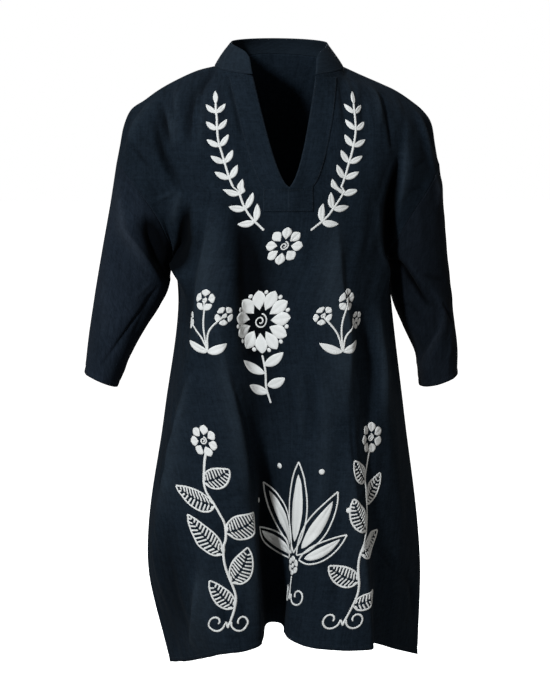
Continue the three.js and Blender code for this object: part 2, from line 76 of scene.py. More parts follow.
# outer x, outer z, inner x, inner z, middle y, half depth: rings from the armhole to the cuff
SLEEVE = {
    "left": [
        (-241, -145, -158, CHEST_Z, 12, 66),
        (-250, -200, -160, -294, 6, 68),
        (-263, -270, -168, -334, 0, 66),
        (-275, -338, -188, -368, -6, 63),
        (-285, -402, -216, -412, -12, 60),
        (-291, -452, -244, -472, -18, 58),
    ],
    "right": [
        (241, -145, 164, CHEST_Z, 12, 66),
        (249, -202, 169.5, -298, 20, 66),
        (257, -275, 174, -344, 26, 64),
        (264, -350, 191, -389, 22, 62),
        (269, -412, 209, -432, 10, 60),
        (269, -458, 215, -480, -2, 58),
    ],
}

# column, x y at the chest, waist, hip, sweep and hem, and the hem's height: lines down the cloth
FRONT_FOLDS = [
    (-18, -158, 12, -151, 8, -173, 4, -199, 4, -166, 2, -897),
    (-15, -150, -42, -133, -84, -163, -74, -190, -56, -139, -62, -880),
    (-12, -129, -88, -118, -106, -132, -110, -150, -118, -100, -139, -852),
    (-8, -106, -108, -103, -116, -104, -130, -86, -144, -68, -146, -847),
    (-5, -80, -116, -86, -117, -74, -131, -46, -131, -41, -128, -841),
    (-2, -40, -121, -60, -110, -39, -94, -20, -62, -24, -48, -830),
    (0, 0, -126, -36, -114, -18, -98, 3, -68, -2, -52, -830),
    (3, 34, -125, 8, -125, 12, -119, 6, -104, 0, -96, -838),
    (6, 64, -119, 44, -127, 38, -132, 28, -136, 24, -133, -845),
    (9, 88, -110, 72, -122, 70, -135, 72, -145, 72, -147, -849),
    (12, 114, -93, 94, -113, 96, -130, 115, -140, 122, -136, -851),
    (14, 136, -68, 117, -94, 118, -103, 128, -108, 128, -104, -850),
    (16, 152, -36, 146, -66, 157, -74, 177, -60, 168, -56, -872),
    (18, 164, 12, 171, 8, 190, 4, 216, 4, 213, 2, -896),
]

ARM_CREASE = [(176, -56), (180, -112), (162, -160), (149, -188), (156, -236)]
ARM_CREASE_DEPTH, ARM_CREASE_HALF_WIDTH = 13, 20
FRONT_BULGE, BULGE_RISE, BULGE_FADE = 30, 0.15, 3
BULGE_PEAK = (BULGE_FADE + 1) ** (BULGE_FADE + 1) / BULGE_FADE**BULGE_FADE

# The panel is drafted on a coarse grid, and then smoothed out to a fine one
NECK_COLUMNS, HALF_COLUMNS = 6, 18
YOKE_ROWS, TIP_ROW, SKIRT_ROWS = 11, 8, 20
DRAPE_ROUNDS, CHEST_ROUNDS, CHEST_ROWS = 10, 3, 3
ROWS_FINE, COLUMNS_FINE = 8, 5
TIP = TIP_ROW * ROWS_FINE
CHEST = YOKE_ROWS * ROWS_FINE


def mix(a, b, t):
    return a + (b - a) * t


def run_through(knots, values, t):
    """A smooth curve through values at uneven knots."""
    last = len(knots) - 1
    i = 0
    while i < last - 1 and t > knots[i + 1]:
        i += 1

    def slope(k):
        low, high = max(k - 1, 0), min(k + 1, last)
        return (values[high] - values[low]) / (knots[high] - knots[low])

    width = knots[i + 1] - knots[i]
    s = (t - knots[i]) / width
    rise = values[i + 1] - values[i]
    bend = (slope(i) * width - rise) * (1 - s) - (slope(i + 1) * width - rise) * s
    return values[i] + rise * s + s * (1 - s) * bend


def distance_along(points, axis=0):
    """The distance of each point from the start of its line, for lines that run along an axis."""
    steps = np.linalg.norm(np.diff(points, axis=axis), axis=-1)
    start = np.zeros_like(np.take(steps, [0], axis))
    return np.concatenate([start, np.cumsum(steps, axis=axis)], axis=axis)


def even_points(rows, count, samples=200):
    """Evenly spaced points along a smooth line through the rows of a table."""
    knots = list(range(len(rows)))
    columns = list(zip(*rows))
    fine = np.array([
        [run_through(knots, column, i / samples * (len(rows) - 1)) for column in columns]
        for i in range(samples + 1)
    ])
    travelled = distance_along(fine)
    target = np.linspace(0, travelled[-1], count + 1)
    return np.stack([np.interp(target, travelled, fine[:, k]) for k in range(fine.shape[1])], 1)


def neck_point(turn, sign, form):
    """A point of a neck line. The turn is 0 at centre front, a quarter at the side, a half behind."""
    sine, cosine = math.sin(turn * 2 * math.pi), math.cos(turn * 2 * math.pi)
    reach, end_z = (
        (form["front_reach"], form["front_z"]) if cosine > 0 else (form["back_reach"], form["back_z"])
    )
    return np.array([
        sign * form["half_width"] * sine,
        NECK_MID_Y - reach * cosine,
        mix(form["side_z"], end_z, abs(cosine)),
    ])


def upper_edge(side, first_turn, fine=1):
    """The panel's half upper edge: round the neck, then out along the shoulder."""
    neck_count, count = NECK_COLUMNS * fine, (HALF_COLUMNS - NECK_COLUMNS) * fine
    neck = [
        neck_point(mix(first_turn, SIDE_TURN, i / neck_count), SIGN[side], NECK_SEAM)
        for i in range(neck_count)
    ]
    line = even_points(SHOULDER[side], count)
    shoulder = [
        np.array([x, mix(NECK_MID_Y, SHOULDER_END_Y, i / count), z]) for i, (x, z) in enumerate(line)
    ]
    return np.array(neck + shoulder)


def v_edge(share, sign):
    """The edge of the V on one side, from the neck seam at 0 to the tip at 1."""
    half = V_TOP_HALF * max(1 - share, 0) ** V_BOW
    y = mix(V_TOP_Y, V_TIP_Y, share**V_LEAN)
    return np.array([sign * half, y, NECK_SEAM["front_z"] - V_DEPTH * share])


def sleeve_point(side, along, turn):
    """A ring of the sleeve. The turn is 0 at the outer edge, a quarter in front, a half below."""
    rows = SLEEVE[side]
    knots = [i / (len(rows) - 1) for i in range(len(rows))]
    outer_x, outer_z, inner_x, inner_z, mid_y, half_depth = (
        run_through(knots, column, along) for column in zip(*rows)
    )
    out, forward = (1 + math.cos(turn * 2 * math.pi)) / 2, math.sin(turn * 2 * math.pi)
    return np.array([
        mix(inner_x, outer_x, out), mid_y - half_depth * forward, mix(inner_z, outer_z, out),
    ])


def skirt_point(folds, column, share):
    """A point below the chest, at a column of the draft and a share of the way to the hem."""
    across = [run_through([f[0] for f in folds], [f[k] for f in folds], column) for k in range(1, 12)]
    heights = [CHEST_Z, WAIST_Z, HIP_Z, SWEEP_Z, across[10]]
    knots = [(CHEST_Z - z) / BODY_LENGTH for z in heights[:4]] + [1]
    return np.array([
        run_through(knots, across[0:10:2], share),
        run_through(knots, across[1:10:2], share),
        run_through(knots, heights, share),
    ])


def nearest_on(path, spots):
    """The nearest place on a path of straight steps, for each spot: how far off it is, its share of
    the way along, which side of the path the spot lies on, and the place's x."""
    distance = np.full(spots.shape[:-1], np.inf)
    share, side, line_x = np.zeros((3,) + distance.shape)
    for i, (a, b) in enumerate(zip(path, path[1:])):
        step = b - a
        t = np.clip((spots - a) @ step / (step @ step), 0, 1)
        away = spots - a - t[..., None] * step
        gap = np.linalg.norm(away, axis=-1)
        closer = gap < distance
        distance = np.where(closer, gap, distance)
        share = np.where(closer, (i + t) / (len(path) - 1), share)
        side = np.where(closer, step[0] * away[..., 1] - step[1] * away[..., 0], side)
        line_x = np.where(closer, a[0] + t * step[0], line_x)
    return distance, share, side, line_x


def in_arm_crease(points):
    """How far points lie in the crease from the shoulder to the underarm, from 0 to 1."""
    reach = np.stack([np.abs(points[..., 0]), points[..., 2]], -1)
    distance, _, _, _ = nearest_on(np.array(ARM_CREASE, float), reach)
    return np.exp(-((distance / ARM_CREASE_HALF_WIDTH) ** 2))


def draft_half(side, folds, first_turn, inner, bulge, outward):
    """Half a panel on the coarse grid, from its middle to its side."""
    sign = SIGN[side]
    upper = upper_edge(side, first_turn)
    lower = np.array([skirt_point(folds, sign * c, 0) for c in range(HALF_COLUMNS + 1)])
    outer = np.array([
        sleeve_point(side, 0, -outward * r / YOKE_ROWS * 0.5) for r in range(YOKE_ROWS + 1)
    ])
    v = np.linspace(0, 1, YOKE_ROWS + 1)[:, None, None]
    u = np.linspace(0, 1, HALF_COLUMNS + 1)[None, :, None]
    grid = (1 - v) * upper[None] + v * lower[None] + (1 - u) * inner[:, None] + u * outer[:, None]
    grid -= (1 - u) * (1 - v) * upper[0] + u * (1 - v) * upper[-1]
    grid -= (1 - u) * v * lower[0] + u * v * lower[-1]
    for _ in range(DRAPE_ROUNDS):
        for r in range(1, YOKE_ROWS):
            for c in range(1, HALF_COLUMNS):
                grid[r, c] = (grid[r - 1, c] + grid[r + 1, c] + grid[r, c - 1] + grid[r, c + 1]) / 4
    v, across = v[..., 0], np.sin(np.pi * np.linspace(0, 1, HALF_COLUMNS + 1))[None]
    swell = bulge * across * BULGE_PEAK * v * (1 - v) ** BULGE_FADE
    groove = ARM_CREASE_DEPTH * in_arm_crease(grid) * across * np.minimum(1, 4 * v * (1 - v))
    grid[..., 1] += outward * (swell - groove)
    grid[..., 2] += swell * BULGE_RISE
    skirt = [
        [skirt_point(folds, sign * c, r / SKIRT_ROWS) for c in range(HALF_COLUMNS + 1)]
        for r in range(1, SKIRT_ROWS + 1)
    ]
    grid = np.concatenate([grid, np.array(skirt)])
    for _ in range(CHEST_ROUNDS):
        for r in range(YOKE_ROWS - CHEST_ROWS, YOKE_ROWS + CHEST_ROWS + 1):
            grid[r, :-1] = grid[r, :-1] / 2 + (grid[r - 1, :-1] + grid[r + 1, :-1]) / 4
    return grid


def spread(grid, times, before):
    """A smooth sheet through the rows of a grid, with more rows; `before` is the row ahead of it."""
    after = 2 * grid[-1] - grid[-2]
    g = np.concatenate([before[None], grid, after[None]])
    p0, p1, p2, p3 = g[:-3, None], g[1:-2, None], g[2:-1, None], g[3:, None]
    t = (np.arange(times) / times).reshape((1, -1) + (1,) * (grid.ndim - 1))
    curve = p1 + t / 2 * (
        p2 - p0 + t * (2 * p0 - 5 * p1 + 4 * p2 - p3 + t * (3 * (p1 - p2) + p3 - p0))
    )
    return np.concatenate([curve.reshape((-1,) + grid.shape[1:]), grid[-1:]])


def join_middle(halves, first_row):
    """Makes one line of the two halves' middle columns, from a row down."""
    middle = (halves["left"][first_row:, 0] + halves["right"][first_row:, 0]) / 2
    halves["left"][first_row:, 0] = halves["right"][first_row:, 0] = middle


def fine_panel(halves, first_turn, outward, slit):
    """Both halves of a panel on the fine grid, with the seam lines exactly in place."""
    fine = {}
    for side, other in (("left", "right"), ("right", "left")):
        grid = halves[side]
        before = 2 * grid[:, 0] - grid[:, 1]
        joined = TIP_ROW if slit else 0
        before[joined:] = halves[other][joined:, 1]
        wide = spread(grid.transpose(1, 0, 2), COLUMNS_FINE, before).transpose(1, 0, 2)
        sheet = spread(wide, ROWS_FINE, 2 * wide[0] - wide[1])
        fade_rows = np.clip(1 - np.arange(len(sheet)) / ROWS_FINE, 0, 1)[:, None, None]
        fade_columns = np.clip(1 - np.arange(sheet.shape[1]) / COLUMNS_FINE, 0, 1)[None, :, None]
        sheet += (upper_edge(side, first_turn, COLUMNS_FINE) - sheet[0])[None] * fade_rows
        armhole = np.array([
            sleeve_point(side, 0, -outward * r / CHEST * 0.5) for r in range(CHEST + 1)
        ])
        gap = (armhole - sheet[: CHEST + 1, -1])[:, None]
        sheet[: CHEST + 1] += gap * fade_columns[:, ::-1]
        if slit:
            edge = np.array([v_edge(r / TIP, SIGN[side]) for r in range(TIP + 1)])
            sheet[: TIP + 1] += (edge - sheet[: TIP + 1, 0])[:, None] * fade_columns
        fine[side] = sheet
    join_middle(fine, TIP if slit else 0)
    return fine


def unit_normals(sheet):
    normals = np.cross(np.gradient(sheet, axis=1), np.gradient(sheet, axis=0))
    return normals / np.maximum(np.linalg.norm(normals, axis=-1, keepdims=True), 1e-9)


def facing(sheet, outward):
    """Unit normals of a sheet of points, on its outer side."""
    normals = unit_normals(sheet)
    return normals if normals[..., 1].mean() * outward > 0 else -normals


def panel_facing(fine, outward, slit):
    normals = {side: facing(sheet, outward) for side, sheet in fine.items()}
    joined = TIP if slit else 0
    middle = normals["left"][joined:, 0] + normals["right"][joined:, 0]
    middle /= np.linalg.norm(middle, axis=-1, keepdims=True)
    normals["left"][joined:, 0] = normals["right"][joined:, 0] = middle
    return normals


CREASE_STEPS, CREASE_SAMPLES, CREASE_FALL = 24, 60, 1.6
NARROW_CREASE, NARROW_END_FADE, WIDE_END_FADE = 8, 0.6, 1.1


def crease_relief(points, creases):
    """How far each point moves out of the cloth for a table of creases. A ridge stands out, and
    the relief of a trough is negative. Both ends of a crease fade out."""
    relief = np.zeros(points.shape[:-1])
    flat = points[..., [0, 2]]
    for height, left_width, right_width, line in creases:
        path = even_points(line, CREASE_STEPS, CREASE_SAMPLES)
        widest = max(left_width, right_width)
        low, high = path.min(0) - 3 * widest, path.max(0) + 3 * widest
        near = ((flat > low) & (flat < high)).all(-1)
        if not near.any():
            continue
        distance, along, side, _ = nearest_on(path, flat[near])
        width = np.where(side > 0, right_width, left_width)
        blunt = NARROW_END_FADE if widest < NARROW_CREASE else WIDE_END_FADE
        fade = np.clip(np.sin(np.pi * along), 0, 1) ** blunt
        relief[near] += height * fade * np.exp(-((distance / width) ** CREASE_FALL))
    return relief


def soft_ripples(s, z, seed, height, across, down):
    """Slow uneven ripples of hanging cloth. Across and down are their usual lengths."""
    ways = np.random.default_rng(seed)
    total = np.zeros_like(s)
    for _ in range(7):
        a = 2 * np.pi / (across * ways.uniform(0.7, 1.8))
        b = 2 * np.pi / (down * ways.uniform(0.7, 1.8)) * ways.choice([-1, 1])
        total += np.sin(a * s + b * z + ways.uniform(0, 6.28))
    return height * total / 7**0.5


def crumple(seed, count, reach, top, bottom):
    """A table of short light creases, scattered unevenly over cloth that has been worn."""
    ways = np.random.default_rng(seed)
    rows = []
    for _ in range(count):
        x, z = ways.uniform(-reach, reach), ways.uniform(bottom, top)
        lean, length = ways.normal(0, 0.6), ways.uniform(16, 60)
        across, down = math.sin(lean) * length, -math.cos(lean) * length
        bow = ways.uniform(-5, 5)
        rows.append((
            ways.choice([-1, 1]) * ways.uniform(0.35, 1.1), ways.uniform(2.5, 7), ways.uniform(2.5, 7),
            [(x, z), (x + across / 2 + bow, z + down / 2), (x + across, z + down)],
        ))
    return rows


def underarm_hollow(points, side):
    """The body and the sleeve sink in together, in front, along a line that runs down to the
    underarm. Both are moved by the same rule, so that their seam stays closed."""
    path = even_points(HOLLOW_LINES[side], CREASE_STEPS, CREASE_SAMPLES)
    nearest, share, _, line_x = nearest_on(path, points[..., [0, 2]])
    depth, half_width = HOLLOW_DEPTH[side], mix(*HOLLOW_HALF_WIDTH[side], share)
    towards_middle = np.abs(points[..., 0]) < np.abs(line_x)
    half_width = np.where(towards_middle, HOLLOW_STEEPER[side], 1) * half_width
    in_front = np.clip((HOLLOW_BACK_Y - points[..., 1]) / 50, 0, 1)
    lengthways = np.sin(np.pi * share**1.45) ** 0.9
    return depth * lengthways * np.exp(-((nearest / half_width) ** 2.4)) * in_front


def underarm_sag(points, side):
    """How far the cloth round the underarm hangs down, the same for each piece that meets there."""
    x, drop, reach = UNDERARM_SAG[side]
    away = np.stack([points[..., 0] - x, points[..., 2] - CHEST_Z], -1)
    return drop * np.exp(-((np.linalg.norm(away, axis=-1) / reach) ** 2))


def underarm_swell(points, side, reach):
    """Body and sleeve bulge towards each other in front, just below the underarm seam."""
    _, _, height = UNDERARM_SWELL[side]
    below = np.clip((CHEST_Z + 14 - points[..., 2]) / 14, 0, 1)
    return reach * below * np.exp(
        -(((points[..., 2] - height) / 38) ** 2) - ((points[..., 1] + 52) / 22) ** 2
    ) * (np.abs(points[..., 0]) > 120)


def side_by_side(halves):
    """Both halves of a panel as one grid, with the middle column once."""
    return np.concatenate([halves["left"][:, :0:-1], halves["right"]], axis=1)


def read_level(heights, points, values):
    """The values of a panel's columns where they cross level heights."""
    cut = np.empty((len(heights), points.shape[1], 3))
    for c in range(points.shape[1]):
        down = np.maximum.accumulate(-points[:, c, 2] + np.arange(len(points)) * 1e-6)
        for k in range(3):
            cut[:, c, k] = np.interp(-heights, down, values[:, c, k])
    return cut


def level_lines(fine, step=2.0):
    """The panel cut at level heights: the heights, and for each one the points of every column
    with their distance along the cloth from the middle."""
    heights = np.arange(-20.0, -905.0, -step)
    columns = side_by_side(fine)
    split = fine["left"].shape[1] - 1
    cut = read_level(heights, columns, columns)
    run = np.zeros(cut.shape[:2])
    lengths = np.linalg.norm(np.diff(cut[..., :2], axis=1), axis=2)
    run[:, split] = cut[:, split, 0] * (heights > NECK_SEAM["front_z"] - V_DEPTH)
    run[:, split + 1:] = run[:, split, None] + np.cumsum(lengths[:, split:], axis=1)
    first = np.where(run[:, split] > 1, cut[:, split - 1, 0], -lengths[:, split - 1])
    run[:, split - 1] = first
    run[:, : split - 1] = first[:, None] - np.cumsum(lengths[:, split - 2:: -1], axis=1)[:, ::-1]
    return heights, cut, run


def cloth_run(fine, lines):
    """Distance along the cloth from its middle, for every point of a panel's halves."""
    heights, _, run = lines
    count = fine["left"].shape[1] - 1
    result = {}
    for side, sheet in fine.items():
        result[side] = np.empty(sheet.shape[:2])
        for c in range(count + 1):
            column = count - c if side == "left" else count + c
            result[side][:, c] = np.interp(-sheet[:, c, 2], -heights, run[:, column])
    return result


def node(tree, kind, inputs=(), **settings):
    """A new node with its settings. Each input gets a value, or the output that feeds it."""
    made = tree.nodes.new("ShaderNode" + kind)
    for name, value in settings.items():
        setattr(made, name, value)
    for name, value in dict(inputs).items():
        if isinstance(value, bpy.types.NodeSocket):
            tree.links.new(value, made.inputs[name])
        else:
            made.inputs[name].default_value = value
    return made


def new_group(name, inputs, outputs):
    """A shader node group with its named sockets: all are numbers but the place on the cloth."""
    group = bpy.data.node_groups.new(name, "ShaderNodeTree")
    for way, sockets in (("INPUT", inputs), ("OUTPUT", outputs)):
        for socket in sockets:
            kind = "NodeSocketVector" if socket == "Cloth" else "NodeSocketFloat"
            group.interface.new_socket(socket, in_out=way, socket_type=kind)
    given, made = group.nodes.new("NodeGroupInput"), group.nodes.new("NodeGroupOutput")
    return group, given.outputs, made.inputs


def streaks(tree, place, scale, detail):
    """Noise that is stretched by its scale, in marks per metre each way."""
    stretch = node(tree, "VectorMath", {0: place, 1: scale}, operation="MULTIPLY")
    noise = node(tree, "TexNoise", {"Scale": 1, "Detail": detail, "Vector": stretch.outputs[0]})
    return noise.outputs["Fac"]


def weave_group():
    """Plain weave of slubby cotton: the height of the threads, and a mask of thick pale slubs."""
    group, given, made = new_group("cotton_weave", ("Cloth", "Threads per metre"), ("Height", "Slub"))

    def combine(kind, a, b=0):
        return node(group, "Math", {0: a, 1: b}, operation=kind).outputs[0]

    scaled = node(
        group, "VectorMath", {0: given["Cloth"], "Scale": given["Threads per metre"]}, operation="SCALE"
    )
    split = node(group, "SeparateXYZ", {0: scaled.outputs[0]}).outputs
    over = combine(
        "MULTIPLY",
        combine("SINE", combine("MULTIPLY", split[0], math.pi)),
        combine("SINE", combine("MULTIPLY", split[1], math.pi)),
    )
    warp = streaks(group, given["Cloth"], (900, 28, 1), 2)
    weft = streaks(group, given["Cloth"], (24, 800, 1), 2)
    both = combine("ADD", warp, weft)
    group.links.new(combine("ADD", combine("MULTIPLY", over, 0.25), both), made["Height"])
    slub = node(
        group, "MapRange", {"From Min": 0.92, "From Max": 1.3, "Value": both},
        interpolation_type="SMOOTHSTEP",
    )
    group.links.new(slub.outputs["Result"], made["Slub"])
    return group


def rubbed_group():
    """Rubbed cloth along edges and seams: a mask from the distance to the edge, broken up."""
    group, given, made = new_group("rubbed_edge", ("Cloth", "Distance", "Reach"), ("Mask",))
    near = node(group, "MapRange", {
        "Value": given["Distance"], "From Min": 0, "From Max": given["Reach"], "To Min": 1, "To Max": 0,
    })
    noise = node(group, "TexNoise", {"Vector": given["Cloth"], "Scale": 160, "Detail": 3})
    rub = node(
        group, "Math", {0: near.outputs["Result"], 1: noise.outputs["Fac"]}, operation="MULTIPLY"
    )
    group.links.new(rub.outputs[0], made["Mask"])
    return group


def fold_group():
    """Wear and painted light along folds: a mask of the crowns, which are painted paler for wear and as a
    painted highlight, and one of the hollows, which are painted darker as shade."""
    group, given, made = new_group(
        "fold_wear_and_painted_light", ("Relief", "Crown height", "Hollow depth"), ("Crown", "Hollow")
    )
    for mask, limit in (("Crown", "Crown height"), ("Hollow", "Hollow depth")):
        near = node(group, "MapRange", {
            "Value": given["Relief"], "From Min": 0, "From Max": given[limit], "To Min": 0, "To Max": 1,
        })
        group.links.new(near.outputs["Result"], made[mask])
    return group


def mottle_group():
    """Uneven dye in soft cloudy patches and fine flecks."""
    group, given, made = new_group("uneven_dye", ("Cloth",), ("Mask",))
    total = 0
    for across, along, share in (
        (30, 30, 0.15), (150, 150, 0.25), (430, 430, 0.3), (330, 14, 0.2), (14, 330, 0.1),
    ):
        patches = streaks(group, given["Cloth"], (across, along, 1), 3)
        part = node(group, "Math", {0: patches, 1: share}, operation="MULTIPLY").outputs[0]
        total = node(group, "Math", {0: total, 1: part}, operation="ADD").outputs[0]
    stretch = node(group, "MapRange", {"Value": total, "From Min": 0.42, "From Max": 0.58})
    group.links.new(stretch.outputs["Result"], made["Mask"])
    return group


COTTON_WEAVE, RUBBED_EDGE = weave_group(), rubbed_group()
FOLD_WEAR_AND_PAINTED_LIGHT, UNEVEN_DYE = fold_group(), mottle_group()
NAVY = (0.0048, 0.0088, 0.0141)
NAVY_PALE = (0.0106, 0.0178, 0.0276)
NAVY_SLUB = (0.0102, 0.0168, 0.0256)
# Worn cloth with a painted highlight: the paler navy laid on the crowns of folds and on the collar
NAVY_FADED_AND_LIT = (0.0165, 0.0250, 0.0355)
# Painted shade: the near-black navy laid in the hollows of folds and in the underarm hollows
NAVY_PAINTED_SHADE = (0.0008, 0.0016, 0.0028)
NAVY_RUBBED = (0.018, 0.026, 0.036)
THREADS_PER_METRE = 2200
RUBBED_REACH, CROWN_HEIGHT, SHADED_DEPTH = 0.0014, 0.006, -0.011  # metres
DYE_SPREAD = 0.2


def mixed(tree, mask, below, above):
    """One colour laid over another by a mask. Each is three numbers or a colour output."""
    below, above = (
        tone if isinstance(tone, bpy.types.NodeSocket) else (*tone, 1) for tone in (below, above)
    )
    return node(
        tree, "Mix", {"Factor": mask, "A": below, "B": above}, data_type="RGBA"
    ).outputs["Result"]


def navy_cotton(name, tint=(1, 1, 1)):
    """Matt navy cotton: plain weave with slubs, uneven dye, wear on edges, and on folds wear with a
    painted highlight on the crowns and painted shade in the hollows. A tint paints light and shade over a
    whole piece: lighter where it is lit, darker where it is in shade."""
    material = bpy.data.materials.new(name)
    material.use_nodes = True
    tree = material.node_tree
    shader = tree.nodes["Principled BSDF"]
    cloth = node(tree, "UVMap", uv_map="cloth").outputs["UV"]
    seams = node(tree, "UVMap", uv_map="seams").outputs["UV"]
    split = node(tree, "SeparateXYZ", {0: seams}).outputs
    weave = node(
        tree, "Group", {"Cloth": cloth, "Threads per metre": THREADS_PER_METRE}, node_tree=COTTON_WEAVE
    ).outputs
    rubbed = node(
        tree, "Group", {"Cloth": cloth, "Distance": split[0], "Reach": RUBBED_REACH},
        node_tree=RUBBED_EDGE,
    ).outputs["Mask"]
    dye = node(tree, "Group", {"Cloth": cloth}, node_tree=UNEVEN_DYE).outputs["Mask"]
    folds = node(
        tree, "Group", {"Relief": split[1], "Crown height": CROWN_HEIGHT, "Hollow depth": SHADED_DEPTH},
        node_tree=FOLD_WEAR_AND_PAINTED_LIGHT,
    ).outputs
    colour = mixed(tree, dye, np.multiply(NAVY, tint), np.multiply(NAVY_PALE, tint))
    # Crowns of folds get worn colour with a painted highlight, hollows get painted shade
    for mask, tone in (
        (weave["Slub"], NAVY_SLUB), (folds["Crown"], NAVY_FADED_AND_LIT),
        (folds["Hollow"], NAVY_PAINTED_SHADE), (rubbed, NAVY_RUBBED),
    ):
        tinted = np.multiply(tone, tint)
        uneven = mixed(tree, dye, tinted * (1 - DYE_SPREAD), tinted * (1 + DYE_SPREAD))
        colour = mixed(tree, mask, colour, uneven)
    tree.links.new(colour, shader.inputs["Base Color"])
    bump = node(tree, "Bump", {"Strength": 0.35, "Distance": 0.00025, "Height": weave["Height"]})
    tree.links.new(bump.outputs["Normal"], shader.inputs["Normal"])
    shader.inputs["Roughness"].default_value = 0.88
    shader.inputs["Specular IOR Level"].default_value = 0.05
    shader.inputs["Sheen Weight"].default_value = 0.012
    shader.inputs["Sheen Roughness"].default_value = 0.5
    shader.inputs["Sheen Tint"].default_value = (0.75, 0.87, 1, 1)
    return material


def corners(grid):
    """The four corners of each square of a grid, in order round the square."""
    return np.stack([grid[:-1, :-1], grid[1:, :-1], grid[1:, 1:], grid[:-1, 1:]], 2)


def new_piece(name, points, faces, material, uvs=None):
    """An object from points in millimetres, with its named UV layers."""
    mesh = bpy.data.meshes.new(name)
    mesh.from_pydata([tuple(p * MM) for p in points], [], faces)
    for uv_name, values in (uvs or {}).items():
        layer = mesh.uv_layers.new(name=uv_name)
        layer.data.foreach_set("uv", (np.concatenate(values) * MM).ravel())
    mesh.materials.append(material)
    piece = bpy.data.objects.new(name, mesh)
    bpy.context.scene.collection.objects.link(piece)
    return piece


def cloth_mesh(name, blocks, material, thickness=CLOTH_THICKNESS):
    """A thin shell from blocks of grid points. Each block is (points, cloth, seams, flip, ids),
    where equal ids in two blocks are one vertex. Points are in millimetres."""
    points, faces, cloth, seams = {}, [], [], []
    for grid, run, edge, flip, ids in blocks:
        points.update(zip(ids.ravel(), grid.reshape(-1, 3)))
        way = -1 if flip else 1
        faces.append(corners(ids)[:, :, ::way].reshape(-1, 4))
        cloth.append(corners(run)[:, :, ::way].reshape(-1, 2))
        seams.append(corners(edge)[:, :, ::way].reshape(-1, 2))
    used = sorted(points)
    place = {i: k for k, i in enumerate(used)}
    piece = new_piece(
        name,
        [points[i] for i in used],
        [[place[i] for i in face] for face in np.concatenate(faces).tolist()],
        material,
        {"cloth": cloth, "seams": seams},
    )
    piece.data.shade_smooth()
    body = piece.modifiers.new("thickness", "SOLIDIFY")
    body.thickness = thickness * MM
    body.offset = 0
    return piece


def panel_blocks(fine, runs, distances, folds, outward, slit):
    """The blocks of a front or back panel, which share their middle below the slit."""
    rows, columns = fine["left"].shape[:2]
    ids = {"right": np.arange(rows * columns).reshape(rows, columns)}
    ids["left"] = ids["right"] + rows * columns
    joined = TIP if slit else 0
    ids["left"][joined:, 0] = ids["right"][joined:, 0]
    blocks = []
    for side, sheet in fine.items():
        run = np.stack([runs[side], -sheet[..., 2]], -1)
        edge = np.stack([distances[side], folds[side]], -1)
        blocks.append((sheet, run, edge, (side == "left") == (outward < 0), ids[side]))
    return blocks


def edge_distances(fine):
    """Distance to the hem and to the side edge, near enough, for every point of a panel."""
    return {
        side: {
            "hem": distance_along(sheet[::-1])[::-1],
            "side": distance_along(sheet[:, ::-1], axis=1)[:, ::-1],
        }
        for side, sheet in fine.items()
    }


HEM_WIDTH, HEM_RISE = 8, 0.5


def hem_relief(to_hem, run, width=HEM_WIDTH):
    """A turned-up hem: thicker cloth with a pinched, slightly puckered line where it is sewn."""
    body = HEM_RISE / (1 + np.exp(np.minimum((to_hem - width + 1.5) / 1.2, 60)))
    pinch = -0.6 * np.exp(-(((to_hem - width) / 2.6) ** 2))
    pucker = np.sin(run / 2.9) * np.sin(run / 7.3 + 1) + 0.5 * np.sin(run / 5.1 + 2)
    return body + pinch + 0.32 * pucker * np.exp(-(((to_hem - width) / 9) ** 2))


HOLLOW_LINES = {
    "left": [(-140, -198), (-141, -224), (-143, -250), (-146, -278), (-152, -308)],
    "right": [(172, -130), (165, -156), (160, -182), (157, -208), (158, -238), (162, -280)],
}
HOLLOW_DEPTH = {"left": 42, "right": 36}
HOLLOW_HALF_WIDTH = {"left": (7, 20), "right": (5, 12.5)}  # above and below
HOLLOW_STEEPER = {"left": 0.4, "right": 1}  # the half width towards the middle, as a share
HOLLOW_BACK_Y = -6
UNDERARM_SAG = {"left": (-158, 18, 30), "right": (164, 18, 30)}  # x, drop, reach
UNDERARM_SWELL = {"left": (18, 7, -288), "right": (7, 13, -306)}  # body, sleeve, height

# Painted shade on the dropped shoulders, deeper on the right, which faces away from the light
DROPPED_SHOULDER_SHADE = {"left": 1.8, "right": 4.8}
DROPPED_FROM_X, DROPPED_TOP_Z, DROPPED_END_Z = 168, -40, -262

